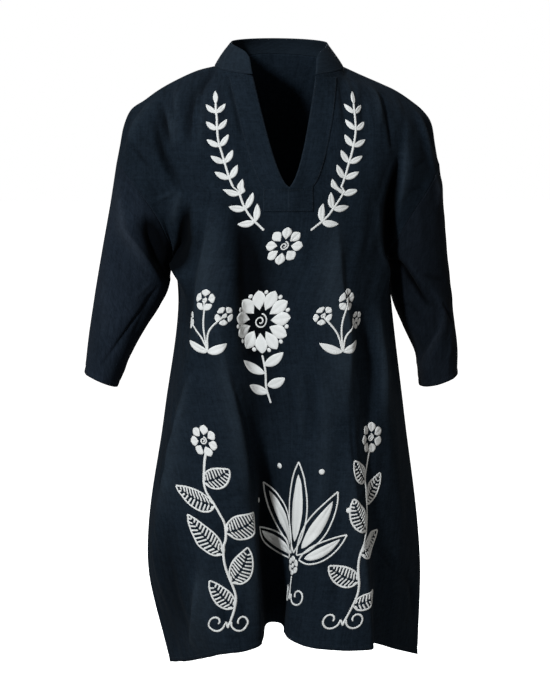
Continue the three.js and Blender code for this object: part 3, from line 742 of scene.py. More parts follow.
# Relief, half widths on its left and on its right as seen from the front, and its x z line going
# down. A line that runs level goes to the right, and its half widths are those below and above.
FRONT_CREASES = [
    (-7.0, 3.5, 4, [(-97, -6), (-108, -19), (-116, -30), (-122, -46)]),
    (-8.5, 9, 3.4, [(-118, -22), (-128, -41), (-136, -68), (-139, -94), (-140, -130)]),
    (3.0, 4, 9, [(-110, -36), (-119, -64), (-123, -100), (-125, -132)]),
    (-4.2, 4, 3, [(-82, -14), (-78, -33), (-74, -53), (-70, -74), (-66, -94), (-61, -114)]),
    (-2.6, 5, 6, [(-92, -18), (-91, -39), (-89, -68), (-83, -100)]),
    (3.2, 4, 6, [(-152, -30), (-156, -50), (-157, -80)]),
    (-4.0, 5, 5, [(-167, -44), (-163, -64), (-158, -88)]),
    (-9.0, 5, 6, [(-179, -54), (-177, -72), (-174, -92), (-170, -116)]),
    (5.5, 4, 16, [(-174, -52), (-168, -75), (-165, -98), (-163, -126)]),
    (-9.0, 4, 6, [(-190, -76), (-185, -104), (-179, -130), (-169, -152), (-153, -182)]),
    (-4.0, 3, 3, [(-222, -118), (-213, -130), (-205, -141), (-193, -153)]),
    (5.4, 3.2, 9, [(-176, -40), (-196, -62), (-208, -78), (-217, -95), (-223, -113), (-234, -142)]),
    (-2.0, 5, 5, [(-213, -96), (-200, -114), (-184, -130)]),
    (2.2, 3, 4, [(-198, -206), (-181, -196), (-156, -183)]),
    (5.0, 9, 4, [(-150, -182), (-155, -206), (-160, -232)]),
    (7.0, 4, 24, [(-108, -202), (-115, -240), (-120, -280), (-126, -319), (-131, -360), (-139, -426)]),
    (-4.0, 8, 6, [(-124, -212), (-128, -246), (-135, -276), (-143, -308)]),
    (3.0, 5, 5, [(-138, -250), (-142, -277), (-146, -300), (-148, -324)]),
    (-4.0, 7, 6, [(-135, -310), (-138, -350), (-141, -394)]),
    (-17.0, 13, 34, [(-80, -180), (-72, -230), (-64, -280), (-60, -325), (-56, -375), (-46, -450)]),
    (-7.0, 12, 26, [(-58, -320), (-50, -410), (-40, -460), (-32, -510), (-26, -570)]),
    (-10.0, 13, 17, [(-38, -540), (-30, -610), (-27, -690), (-25, -770), (-24, -838)]),
    (6.6, 16, 3.8, [(-101, -366), (-92, -428), (-81, -482), (-68, -545), (-60, -610), (-55, -670)]),
    (5.6, 16, 4, [(-58, -630), (-54, -680), (-49, -737), (-44, -795), (-42, -840)]),
    (-2.2, 4, 4, [(-107, -395), (-122, -414), (-136, -434), (-145, -454)]),
    (-0.9, 2, 2, [(6, -246), (7, -275), (8, -304)]),
    (10.0, 26, 7, [(68, -200), (72, -270), (75, -320), (82, -357), (86, -400), (86, -450), (83, -520)]),
    (-8.0, 12, 8, [(112, -345), (117, -388), (126, -424), (129, -460), (126, -492), (118, -535)]),
    (8.0, 9, 8, [(133, -345), (140, -400), (145, -447), (147, -492), (150, -540)]),
    (3.4, 5, 5, [(134, -200), (139, -242), (145, -279), (154, -320)]),
    (6.4, 3.4, 22, [(187, -64), (178, -108), (174, -145), (169, -188), (166, -234)]),
    (2.0, 4, 5, [(93, -16), (98, -38), (101, -64)]),
    (-3.4, 4, 5, [(84, -20), (84, -52), (85, -98)]),
    (4.2, 6, 4, [(129, -27), (139, -46), (141, -67), (140, -92)]),
    (-7.0, 4, 5, [(146, -40), (152, -70), (155, -100), (156, -124)]),
    (-3.6, 5, 5, [(117, -30), (115, -60), (113, -92)]),
    (1.8, 4, 4, [(104, -22), (111, -38), (113, -66)]),
    (8.0, 3.4, 9, [(195, -54), (206, -86), (213, -118), (223, -146), (230, -164)]),
    (-3.2, 4, 6, [(211, -76), (221, -102), (228, -130)]),
    (-1.4, 3, 3, [(188, -151), (200, -146), (213, -141)]),
    (-1.4, 3, 3, [(184, -188), (197, -183), (211, -180)]),
    (7.5, 3.4, 3.6, [(-140, -446), (-147, -480), (-156, -522), (-167, -575), (-180, -632)]),
    (6.5, 3.4, 3.4, [(-130, -742), (-133, -790), (-137, -850)]),
    (4.8, 4, 17, [(-147, -466), (-156, -516), (-163, -553), (-172, -602), (-184, -646), (-195, -714)]),
    (-3.2, 4, 5, [(-165, -524), (-176, -576), (-185, -622)]),
    (6.0, 4, 28, [(-131, -700), (-133, -740), (-135, -776), (-137, -815), (-139, -845), (-140, -876)]),
    (-2.8, 3, 4, [(-112, -674), (-98, -665), (-85, -657), (-75, -648), (-66, -632)]),
    (-2.0, 3, 3, [(-123, -632), (-101, -627), (-78, -620), (-66, -611)]),
    (-2.0, 3, 4, [(-103, -709), (-90, -701), (-70, -689)]),
    (-7.0, 22, 18, [(-178, -640), (-174, -710), (-168, -780), (-162, -880)]),
    (-3.2, 7, 7, [(-84, -688), (-84, -712), (-84, -740)]),
    (-3.0, 6, 7, [(-101, -784), (-94, -796), (-87, -808)]),
    (-2.6, 6, 5, [(-69, -776), (-68, -800), (-67, -826)]),
    (-2.2, 3, 3, [(-114, -812), (-85, -809), (-61, -811), (-43, -809)]),
    (3.4, 14, 12, [(53, -420), (53, -484), (53, -541), (50, -599), (47, -657), (44, -730)]),
    (-3.0, 7, 8, [(30, -430), (33, -484), (36, -550)]),
    (2.2, 7, 6, [(13, -430), (16, -477), (21, -540)]),
    (-2.2, 6, 6, [(-1, -440), (2, -490), (5, -540)]),
    (4.2, 16, 4, [(86, -525), (91, -571), (96, -629), (104, -688), (111, -747), (121, -842)]),
    (-2.8, 3, 4, [(90, -510), (92, -560), (97, -606)]),
    (-2.6, 3, 3, [(133, -708), (149, -729), (165, -749), (177, -763)]),
    (-2.2, 3, 3, [(143, -706), (160, -728), (173, -747)]),
    (-3.8, 4, 4, [(175, -750), (193, -774), (200, -798), (201, -817), (199, -838)]),
    (1.8, 5, 5, [(206, -770), (211, -800), (211, -840)]),
    (-1.6, 9, 9, [(-20, -600), (-24, -660), (-26, -730)]),
    (-1.8, 5, 5, [(20, -690), (42, -676), (66, -684)]),
    (-1.6, 6, 5, [(60, -770), (74, -752), (92, -748)]),
    (1.6, 8, 8, [(74, -700), (78, -750), (80, -810)]),
    (-1.6, 5, 5, [(-160, -700), (-146, -716), (-134, -740)]),
    (-1.4, 5, 5, [(-168, -780), (-156, -800), (-148, -826)]),
    (1.3, 5, 5, [(-40, -236), (-22, -262), (-14, -300)]),
    (-1.2, 6, 6, [(34, -236), (30, -270), (32, -310)]),
]

halves = {}
for side in ("left", "right"):
    inner = [v_edge(r / TIP_ROW, SIGN[side]) for r in range(TIP_ROW + 1)]
    middle = skirt_point(FRONT_FOLDS, 0, 0)
    inner += [
        mix(inner[TIP_ROW], middle, (r - TIP_ROW) / (YOKE_ROWS - TIP_ROW))
        for r in range(TIP_ROW + 1, YOKE_ROWS + 1)
    ]
    halves[side] = draft_half(side, FRONT_FOLDS, V_TURN, np.array(inner), FRONT_BULGE, -1)
halves["left"][TIP_ROW:, 0] = halves["right"][TIP_ROW:, 0]
front_plain = fine_panel(halves, V_TURN, -1, slit=True)
front_run = cloth_run(front_plain, level_lines(front_plain))
front_edges = edge_distances(front_plain)
front_normals = panel_facing(front_plain, -1, slit=True)


def seam_calm(edges, sheet):
    """Fades relief out towards the side seams, the armholes and the upper edge."""
    rows = np.arange(sheet.shape[0])[:, None] / ROWS_FINE
    return np.clip(edges["side"] / 9, 0, 1) * np.clip(rows / 0.8, 0, 1)


FRONT_CRUMPLE = crumple(71, 150, 205, -20, -880)
# The creases' relief also goes into the colour: crowns painted paler as worn and lit, hollows painted
# darker as shade
front_fine, front_folds = {}, {}
for side, sheet in front_plain.items():
    front_folds[side] = crease_relief(sheet, FRONT_CREASES)
    relief = front_folds[side] + crease_relief(sheet, FRONT_CRUMPLE)
    relief += soft_ripples(front_run[side], sheet[..., 2], 11, 0.55, 34, 240)
    relief += soft_ripples(front_run[side], sheet[..., 2], 12, 0.16, 26, 60)
    relief *= seam_calm(front_edges[side], sheet)
    slit_rows = np.clip((np.arange(len(sheet)) - TIP) / (2 * ROWS_FINE), 0, 1)[:, None]
    from_edge = np.arange(sheet.shape[1])[None] / (3 * COLUMNS_FINE)
    relief *= np.clip(np.maximum(slit_rows, from_edge), 0, 1)
    relief += hem_relief(front_edges[side]["hem"], front_run[side])
    front_fine[side] = sheet + front_normals[side] * relief[..., None]
    sunk = underarm_hollow(sheet, side)
    front_fine[side][..., 1] += sunk
    front_fine[side][..., 2] -= underarm_sag(sheet, side)
    # Painted shade: the underarm hollow is darkened in the cloth's colour by its depth
    front_folds[side] -= sunk
    dropped = np.clip((np.abs(sheet[..., 0]) - DROPPED_FROM_X) / 20, 0, 1)  # painted shade: the dropped shoulder is darkened where it turns away from the light
    dropped *= np.clip((DROPPED_TOP_Z - sheet[..., 2]) / 50, 0, 1) * (sheet[..., 2] > DROPPED_END_Z)
    front_folds[side] -= DROPPED_SHOULDER_SHADE[side] * dropped
    swell = underarm_swell(sheet, side, UNDERARM_SWELL[side][0])
    front_fine[side][..., 0] += SIGN[side] * swell * np.clip(front_edges[side]["side"] / 14, 0, 1)
join_middle(front_fine, TIP)

navy = navy_cotton("navy_cotton")
nearest = {side: np.minimum(e["hem"], e["side"]) for side, e in front_edges.items()}
front_cloth = cloth_mesh(
    "front_cloth", panel_blocks(front_fine, front_run, nearest, front_folds, -1, slit=True), navy
)
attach(front_cloth, "root")
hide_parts("front")

# ----------------------------------------------------------------------------------------------
# Back panel. One uncut length of the same navy cotton, sewn to the front along the shoulders and
# the sides. It falls straight from the shoulder blades in a few broad folds.
# ----------------------------------------------------------------------------------------------

BACK_BULGE, BACK_ROUNDING = 36, 2.2
BACK_FOLDS = [
    FRONT_FOLDS[0],
    (-14, -140, 68, -134, 68, -150, 74, -170, 92, -144, 94, -876),
    (-10, -102, 98, -98, 90, -106, 100, -118, 126, -112, 134, -862),
    (-6, -60, 109, -62, 102, -62, 98, -64, 98, -64, 92, -856),
    (-2, -20, 113, -22, 106, -20, 112, -14, 134, -12, 142, -852),
    (3, 30, 112, 28, 100, 32, 100, 40, 104, 44, 98, -854),
    (8, 80, 105, 78, 95, 84, 104, 96, 130, 98, 137, -858),
    (12, 120, 86, 122, 78, 130, 82, 144, 94, 144, 90, -868),
    (15, 150, 52, 154, 48, 166, 52, 190, 64, 184, 62, -880),
    FRONT_FOLDS[-1],
]
BACK_CREASES = [
    (2.8, 8, 10, [(-98, -8), (-112, -34), (-122, -70), (-128, -116)]),
    (-2.6, 8, 7, [(-84, -12), (-92, -48), (-98, -92), (-102, -140)]),
    (2.6, 8, 8, [(100, -10), (112, -40), (120, -80), (122, -124)]),
    (-2.8, 7, 9, [(126, -30), (136, -66), (140, -110), (138, -150)]),
    (-5.0, 9, 8, [(-186, -80), (-186, -124), (-174, -160), (-156, -200)]),
    (3.8, 8, 12, [(-168, -70), (-166, -112), (-156, -150), (-144, -190)]),
    (-5.0, 8, 9, [(184, -84), (184, -126), (176, -160), (160, -204)]),
    (3.8, 12, 8, [(166, -70), (166, -112), (158, -156), (146, -196)]),
    (4.0, 14, 10, [(-30, -180), (-28, -270), (-24, -350), (-22, -440)]),
    (-5.0, 9, 16, [(-62, -220), (-60, -320), (-62, -420), (-60, -520)]),
    (4.6, 16, 7, [(-104, -260), (-102, -370), (-108, -470), (-114, -580)]),
    (3.6, 7, 14, [(-14, -560), (-12, -650), (-10, -740), (-12, -836)]),
    (-4.0, 14, 10, [(34, -240), (32, -350), (34, -450), (38, -570)]),
    (4.2, 9, 14, [(82, -250), (80, -360), (86, -470), (92, -600)]),
    (-3.4, 9, 9, [(112, -320), (114, -430), (122, -540), (130, -650)]),
    (3.4, 12, 6, [(98, -640), (98, -720), (98, -800), (99, -856)]),
    (-3.0, 8, 8, [(-138, -430), (-146, -540), (-156, -650), (-150, -770)]),
    (3.2, 6, 12, [(-118, -650), (-118, -740), (-114, -820), (-112, -866)]),
    (-1.4, 4, 5, [(-64, -334), (-30, -322), (2, -300)]),
    (-1.2, 5, 4, [(20, -352), (44, -338), (74, -330)]),
    (-2.0, 3, 4, [(150, -360), (118, -384), (84, -388)]),
    (-2.0, 4, 3, [(-148, -340), (-122, -366), (-92, -372)]),
    (-2.4, 4, 4, [(178, -760), (168, -794), (160, -838)]),
    (-2.2, 4, 4, [(-164, -730), (-156, -772), (-150, -822)]),
    (-1.3, 4, 4, [(-46, -706), (-28, -694), (-4, -672)]),
    (-1.3, 4, 4, [(44, -628), (66, -622), (88, -634)]),
    (-1.6, 4, 4, [(-100, -600), (-72, -590), (-50, -596)]),
    (1.8, 6, 6, [(30, -690), (34, -760), (36, -830)]),
    (-1.8, 6, 6, [(62, -700), (64, -770), (62, -836)]),
    (-1.8, 6, 6, [(-70, -680), (-66, -760), (-68, -836)]),
]

halves = {}
for side in ("left", "right"):
    top, middle = neck_point(BACK_TURN, SIGN[side], NECK_SEAM), skirt_point(BACK_FOLDS, 0, 0)
    inner = []
    for r in range(YOKE_ROWS + 1):
        v = r / YOKE_ROWS
        y = mix(top[1], middle[1], 1 - (1 - v) ** BACK_ROUNDING)
        inner.append([mix(0, middle[0], v), y, mix(top[2], middle[2], v)])
    halves[side] = draft_half(side, BACK_FOLDS, BACK_TURN, np.array(inner), BACK_BULGE, 1)
halves["left"][:, 0] = halves["right"][:, 0]
back_plain = fine_panel(halves, BACK_TURN, 1, slit=False)
back_run = cloth_run(back_plain, level_lines(back_plain))
back_edges = edge_distances(back_plain)
back_normals = panel_facing(back_plain, 1, slit=False)

BACK_CRUMPLE = crumple(72, 150, 205, -20, -880)
# The creases' relief also goes into the colour: crowns painted paler as worn and lit, hollows painted
# darker as shade
back_fine, back_folds = {}, {}
for side, sheet in back_plain.items():
    back_folds[side] = crease_relief(sheet, BACK_CREASES)
    relief = back_folds[side] + crease_relief(sheet, BACK_CRUMPLE)
    relief += soft_ripples(back_run[side], sheet[..., 2], 21, 0.6, 38, 240)
    relief += soft_ripples(back_run[side], sheet[..., 2], 22, 0.16, 26, 60)
    relief *= seam_calm(back_edges[side], sheet)
    relief += hem_relief(back_edges[side]["hem"], back_run[side])
    back_fine[side] = sheet + back_normals[side] * relief[..., None]
    back_fine[side][..., 2] -= underarm_sag(sheet, side)
join_middle(back_fine, 0)

nearest = {side: np.minimum(e["hem"], e["side"]) for side, e in back_edges.items()}
back_cloth = cloth_mesh(
    "back_cloth", panel_blocks(back_fine, back_run, nearest, back_folds, 1, slit=False), navy
)
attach(back_cloth, "root")
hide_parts("back")

# ----------------------------------------------------------------------------------------------
# Sleeves. Each is one piece of the navy cotton, set into a dropped armhole and closed by a seam
# that turns forward from the underarm to the cuff. The cuff edge is turned up and sewn.
# ----------------------------------------------------------------------------------------------

SLEEVE_ROWS, SLEEVE_ROWS_FINE = 12, 7
SLEEVE_COLUMNS = 2 * CHEST
CUFF_WIDTH = 8
UNDERARM_CLEARANCE = 1.6
SLEEVE_CREASES = {  # those in front, and those behind
    "left": (
        [
            (7.0, 11, 3.4, [
                (-240, -164), (-237, -198), (-233, -227), (-227, -248), (-203, -284), (-176, -332),
            ]),
            (-20.0, 15, 10, [(-203, -216), (-187, -254), (-177, -284), (-167, -316)]),
            (1.6, 3, 3, [(-222, -340), (-208, -328), (-194, -313)]),
            (-4.0, 3, 3, [(-276, -446), (-248, -410), (-220, -373), (-196, -338), (-185, -321)]),
            (-2.8, 6, 6, [(-193, -334), (-208, -368), (-223, -400)]),
            (-2.4, 3, 3, [(-237, -152), (-229, -167), (-220, -184)]),
            (2.0, 9, 9, [(-256, -262), (-261, -320), (-262, -370), (-266, -440)]),
            (-1.6, 8, 8, [(-246, -260), (-244, -300), (-240, -346)]),
            (-1.4, 7, 7, [(-262, -380), (-262, -420), (-264, -456)]),
            (1.4, 5, 5, [(-250, -200), (-254, -240), (-262, -280)]),
        ],
        [
            (3.4, 8, 8, [(-240, -180), (-222, -210), (-202, -236), (-178, -260)]),
            (-3.4, 7, 8, [(-250, -230), (-230, -258), (-206, -280), (-182, -298)]),
            (2.6, 7, 8, [(-262, -290), (-240, -318), (-214, -334), (-196, -346)]),
            (-2.6, 6, 7, [(-270, -340), (-250, -362), (-226, -376)]),
            (2.2, 8, 8, [(-280, -380), (-268, -420), (-266, -460)]),
        ],
    ),
    "right": (
        [
            (-12.0, 3.4, 4, [
                (169, -274), (182, -295), (194, -312), (204, -328), (212, -343), (223, -359),
            ]),
            (2.2, 5, 6, [(180, -270), (194, -292), (206, -310), (218, -332)]),
            (-3.4, 3, 3, [(214, -310), (229, -315), (248, -320)]),
            (9.0, 4, 12, [
                (216, -317), (227, -333), (237, -358), (237, -385), (224, -420), (218, -441), (217, -478),
            ]),
            (-4.0, 3, 3, [(237, -351), (247, -368), (253, -384)]),
            (2.8, 4, 4, [(254, -374), (251, -415), (246, -439), (242, -466)]),
            (-3.0, 7, 7, [(195, -346), (202, -371), (210, -394)]),
            (-1.6, 3, 3, [(178, -353), (188, -357), (200, -362)]),
            (-1.4, 3, 3, [(179, -236), (189, -272), (194, -306)]),
            (6.0, 4, 9, [(226, -148), (231, -180), (233, -216)]),
            (-1.6, 7, 7, [(210, -200), (214, -240), (216, -280)]),
            (-1.6, 5, 5, [(228, -410), (230, -440), (230, -468)]),
        ],
        [
            (3.2, 8, 8, [(240, -180), (222, -214), (204, -240), (184, -264)]),
            (-3.2, 7, 8, [(248, -230), (230, -262), (210, -286), (188, -306)]),
            (2.6, 7, 8, [(256, -290), (236, -324), (214, -346), (198, -360)]),
            (-2.4, 7, 7, [(262, -350), (244, -380), (226, -398)]),
            (2.2, 8, 8, [(264, -390), (250, -424), (244, -462)]),
        ],
    ),
}

# Painted light and shade: the lit left sleeve's cloth is painted lighter, and the right sleeve, in shade,
# darker and less blue
SLEEVE_PAINTED_LIGHT = {"left": (1.16, 1.04, 1.06), "right": (0.79, 0.68, 0.67)}
UNDERARM_PAINTED_SHADE = {  # painted shade where the sleeve lies in the underarm, as a table of creases that darken the colour and do not move the cloth
    "left": [(-15, 15, 18, [(-198, -216), (-188, -252), (-180, -290), (-174, -330)])],
    "right": [
        (-5, 14, 14, [(176, -262), (186, -300), (200, -350)]),
        (-6.5, 26, 22, [(232, -240), (240, -330), (238, -400), (232, -500)]),
    ],
}
def closed_round(grid):
    """A sleeve's grid with its first column again at the end, where it closes."""
    return np.concatenate([grid, grid[:, :1]], axis=1)


sleeve_cloth, cuff_lines = {}, {}
for side in ("left", "right"):
    rows = SLEEVE_ROWS * SLEEVE_ROWS_FINE
    plain = np.array([
        [sleeve_point(side, r / rows, c / SLEEVE_COLUMNS) for c in range(SLEEVE_COLUMNS)]
        for r in range(rows + 1)
    ])
    turn = np.arange(SLEEVE_COLUMNS) / SLEEVE_COLUMNS
    low = (1 - np.cos(turn * 2 * math.pi)) / 2
    first = np.sin(np.clip(np.arange(rows + 1) / SLEEVE_ROWS_FINE, 0, 1) * math.pi)[:, None]
    plain[..., 0] += SIGN[side] * UNDERARM_CLEARANCE * low[None] ** 2 * first
    closed = closed_round(plain)
    wrapped = np.concatenate([plain[:, -1:], closed], axis=1)
    normals = unit_normals(wrapped)[:, 1:-1]
    outwards = plain - plain.mean(1, keepdims=True)
    if (normals * outwards).sum(-1).mean() < 0:
        normals = -normals
    to_cuff = distance_along(plain[::-1])[::-1]
    around = distance_along(closed, axis=1)
    in_front = np.clip(0.5 + np.sin(turn * 2 * math.pi) * 4, 0, 1)[None]
    fronts, behinds = SLEEVE_CREASES[side]
    folds = crease_relief(plain, fronts) * in_front + crease_relief(plain, behinds) * (1 - in_front)
    relief = folds + crease_relief(plain, crumple(80 + SIGN[side], 70, 300, -150, -470))
    relief += soft_ripples(around[:, :-1], plain[..., 2], 31 + SIGN[side], 0.5, 60, 60)
    relief *= np.clip(np.minimum(turn, 1 - turn) * 16, 0, 1)[None]
    relief *= np.clip(np.arange(rows + 1) / SLEEVE_ROWS_FINE, 0, 1)[:, None]
    relief += hem_relief(to_cuff, around[:, :-1], CUFF_WIDTH)
    shaped = plain + normals * relief[..., None]
    sunk = underarm_hollow(plain, side)
    shaped[..., 1] += sunk
    # Painted shade: the underarm and its hollow are darkened in the sleeve's colour
    folds += crease_relief(plain, UNDERARM_PAINTED_SHADE[side]) * in_front - sunk * 0.5
    shaped[..., 2] -= underarm_sag(plain, side)
    from_armhole = np.clip(np.arange(rows + 1) / 4, 0, 1)[:, None]
    swell = underarm_swell(plain, side, UNDERARM_SWELL[side][1])
    shaped[..., 0] -= SIGN[side] * swell * low[None] * from_armhole
    shaped_closed, near_cuff = closed_round(shaped), closed_round(to_cuff)
    ids = closed_round(np.arange((rows + 1) * SLEEVE_COLUMNS).reshape(rows + 1, SLEEVE_COLUMNS))
    run = np.stack([around, distance_along(closed)], -1)
    edge = np.stack([near_cuff, closed_round(folds)], -1)
    block = (shaped_closed, run, edge, side == "right", ids)
    sleeve_navy_painted_light = navy_cotton(f"navy_cotton_{side}", SLEEVE_PAINTED_LIGHT[side])
    sleeve = cloth_mesh(f"sleeve_{side}_cloth", [block], sleeve_navy_painted_light)
    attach(sleeve, "root")
    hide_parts(f"sleeve_{side}")
    sleeve_cloth[side] = sleeve
    cuff_lines[side] = (shaped_closed, closed_round(normals), near_cuff)

# ----------------------------------------------------------------------------------------------
# Stand collar. A doubled band of the navy cotton round the neck seam, open at the front, with
# rounded front corners. It is stiffened inside and leans in to the neck.
# ----------------------------------------------------------------------------------------------

COLLAR_TOP = {
    "half_width": 71, "front_reach": 74, "back_reach": 54, "side_z": 33, "front_z": 13, "back_z": 42,
}
COLLAR_TOP_OPENING = 49
COLLAR_CORNER, COLLAR_CORNER_FALL = 11, 4
COLLAR_ROWS = 28
COLLAR_THICKNESS, COLLAR_ROUNDING, COLLAR_WIDTH = 1.5, 1.2, 45
COLLAR_HIGHLIGHT = 3.0  # painted highlight: the whole collar is painted paler, as it catches the light
COLLAR_CREASES = [
    (-1.6, 5, 4, [(-73, 40), (-80, 28), (-88, 14), (-93, 0)]),
    (1.0, 5, 6, [(-66, 30), (-72, 14), (-78, 0)]),
    (-1.2, 4, 5, [(70, 32), (78, 18), (86, 4)]),
]

top_turn = math.asin(COLLAR_TOP_OPENING / COLLAR_TOP["half_width"]) / (2 * math.pi)
half_columns = 2 * NECK_COLUMNS * COLUMNS_FINE
collar_grid = np.empty((COLLAR_ROWS + 1, 2 * half_columns + 1, 3))
for c in range(-half_columns, half_columns + 1):
    sign = -1 if c < 0 else 1
    from_back = abs(c) / (NECK_COLUMNS * COLUMNS_FINE)

    def turn_from(front_turn):
        if from_back < 1:
            return mix(BACK_TURN, SIDE_TURN, from_back)
        return mix(SIDE_TURN, front_turn, from_back - 1)

    low = neck_point(turn_from(V_TURN), sign, NECK_SEAM)
    high = neck_point(turn_from(top_turn), sign, COLLAR_TOP)
    columns_away = (half_columns - abs(c)) / COLUMNS_FINE
    high[2] -= COLLAR_CORNER / COLLAR_CORNER_FALL**columns_away
    for r in range(COLLAR_ROWS + 1):
        height = 1 - r / COLLAR_ROWS
        collar_grid[r, c + half_columns] = mix(low, high, height)
collar_normals = unit_normals(collar_grid)
if (collar_normals * (collar_grid - collar_grid.mean((0, 1)))).sum(-1).mean() < 0:
    collar_normals = -collar_normals
share = np.linspace(1, 0, COLLAR_ROWS + 1)[:, None]
relief = crease_relief(collar_grid, COLLAR_CREASES) * (collar_grid[..., 1] < 20)
relief += COLLAR_ROUNDING * np.sin(np.pi * share) * np.ones((1, collar_grid.shape[1]))
collar_grid = collar_grid + collar_normals * relief[..., None]
run = distance_along(collar_grid, axis=1)
height_mm = share * COLLAR_WIDTH * np.ones_like(run)
ends = np.minimum(run, run[:, -1:] - run)
edge = np.stack([np.minimum(COLLAR_WIDTH - height_mm, ends), np.full_like(run, COLLAR_HIGHLIGHT)], -1)
ids = np.arange(run.size).reshape(run.shape)
collar_cloth = cloth_mesh(
    "collar_cloth",
    [(collar_grid, np.stack([run, height_mm], -1), edge, True, ids)],
    navy,
    COLLAR_THICKNESS,
)
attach(collar_cloth, "root")
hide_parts("collar")

# ----------------------------------------------------------------------------------------------
# Placket. A doubled band of the navy cotton sewn over both edges of the V, folded round them, and
# ending in a square box below the tip. It is topstitched all round.
# ----------------------------------------------------------------------------------------------

PLACKET_WIDTH, PLACKET_BOX_HALF, PLACKET_BOX_BOTTOM = 34, 36, -213
PLACKET_THICKNESS = 0.9
PLACKET_LIFT = 1.1
PLACKET_ROWS, PLACKET_BOX_ROWS, PLACKET_COLUMNS = 96, 20, 20
PLACKET_BELOW_COLLAR, PLACKET_TOP_SLOPE = 2.5, 0.4
PLACKET_FOLD = [(-7.0, -2.6), (-2.2, -2.3), (-0.9, -1.2)]  # x inwards and depth, behind the V's edge
PLACKET_OVERHANG = 0.8
PLACKET_MAP_START, FOLD_MAP_START = 500, 480  # a stretch of the roll that no other piece uses


def front_table(fine, normals):
    """Look-up of the front's outer face by height and by x, and by the distance along the cloth."""
    heights, cut, run = level_lines(fine)
    return heights, cut, run, read_level(heights, side_by_side(fine), side_by_side(normals))


def spot_on(table, places, heights_at, lift, by_run):
    """Points over the front's outer face at the places asked for, moved out by the lift."""
    heights, cut, run, faces = table
    places, heights_at = np.asarray(places, float).ravel(), np.asarray(heights_at, float).ravel()
    level = np.clip((heights[0] - heights_at) / (heights[0] - heights[1]), 0, len(heights) - 1.001)
    low = level.astype(int)
    part = level - low
    out, facing_out = np.empty((2, len(places), 3))
    for i, (place, k, t) in enumerate(zip(places, low, part)):
        along = (run if by_run else cut[..., 0])[k : k + 2]
        along = along[0] * (1 - t) + along[1] * t
        c = int(np.clip(np.searchsorted(along, place) - 1, 0, len(along) - 2))
        u = np.clip((place - along[c]) / max(along[c + 1] - along[c], 1e-6), -2, 3)
        square = cut[k : k + 2, c : c + 2]
        out[i] = (square[0, 0] * (1 - u) + square[0, 1] * u) * (1 - t) + (
            square[1, 0] * (1 - u) + square[1, 1] * u
        ) * t
        u = min(max(u, 0), 1)
        square = faces[k : k + 2, c : c + 2]
        facing_out[i] = (square[0, 0] * (1 - u) + square[0, 1] * u) * (1 - t) + (
            square[1, 0] * (1 - u) + square[1, 1] * u
        ) * t
    facing_out /= np.linalg.norm(facing_out, axis=1, keepdims=True)
    return out + facing_out * np.asarray(lift, float).reshape(-1, 1), facing_out


yoke = front_table(front_fine, panel_facing(front_fine, -1, slit=True))
placket_blocks, placket_grids = [], {}
total_rows = PLACKET_ROWS + PLACKET_BOX_ROWS
fold = len(PLACKET_FOLD)
for side in ("left", "right"):
    sign = SIGN[side]
    grid = np.empty((total_rows + 1, PLACKET_COLUMNS + 1 + fold, 3))
    for r in range(total_rows + 1):
        share = min(r / PLACKET_ROWS, 1)
        edge_point = v_edge(share, sign)
        inner = abs(edge_point[0]) - (PLACKET_OVERHANG if share < 1 else 0)
        outer = max(abs(edge_point[0]) + PLACKET_WIDTH, PLACKET_BOX_HALF)
        box_share = max(r - PLACKET_ROWS, 0) / PLACKET_BOX_ROWS
        z = mix(edge_point[2], PLACKET_BOX_BOTTOM, box_share)
        rise = (NECK_SEAM["side_z"] - NECK_SEAM["front_z"]) * PLACKET_TOP_SLOPE * (1 - share) ** 2
        drop = PLACKET_BELOW_COLLAR * (1 - share) ** 4
        u = np.arange(PLACKET_COLUMNS + 1) / PLACKET_COLUMNS
        spots, out = spot_on(
            yoke, sign * mix(inner, outer, u), z + rise * u - drop, PLACKET_LIFT, by_run=False
        )
        grid[r, fold:] = spots
        tuck = min(1.0, (1 - share) * 6)
        for k, (back_in, depth) in enumerate(PLACKET_FOLD):
            shift = np.array([-sign * back_in * tuck, 0, 0])
            grid[r, k] = spots[0] + shift + out[0] * depth * tuck
    placket_grids[side] = grid
ids = {"right": np.arange(grid[..., 0].size).reshape(grid.shape[:2])}
ids["left"] = ids["right"] + grid[..., 0].size
ids["left"][PLACKET_ROWS:, fold] = ids["right"][PLACKET_ROWS:, fold]
for side, grid in placket_grids.items():
    keep = grid[:, fold:]
    span = distance_along(keep, axis=1)
    run = np.stack([SIGN[side] * span + PLACKET_MAP_START, -keep[..., 2]], -1)
    edge = np.stack([np.minimum(span, span[:, -1:] - span), np.zeros_like(span)], -1)
    placket_blocks.append((keep, run, edge, side == "left", ids[side][:, fold:]))
    tucked = grid[: PLACKET_ROWS + 1, : fold + 1]
    run = np.stack([np.full(tucked.shape[:2], float(FOLD_MAP_START)), -tucked[..., 2]], -1)
    edge = np.zeros(tucked.shape[:2] + (2,))
    placket_blocks.append(
        (tucked, run, edge, side == "left", ids[side][: PLACKET_ROWS + 1, : fold + 1])
    )
placket_cloth = cloth_mesh("placket_cloth", placket_blocks, navy, PLACKET_THICKNESS)
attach(placket_cloth, "root")
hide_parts("placket")

# ----------------------------------------------------------------------------------------------
# Machine stitches. Navy sewing thread in short stitches along the edges of the placket and the
# collar, and round the hem and the cuffs.
# ----------------------------------------------------------------------------------------------

STITCH_PITCH, STITCH_LENGTH, STITCH_HALF_WIDTH = 3.2, 2.5, 0.28
STITCH_INSET = 1.5  # from the inner edge of a turned hem


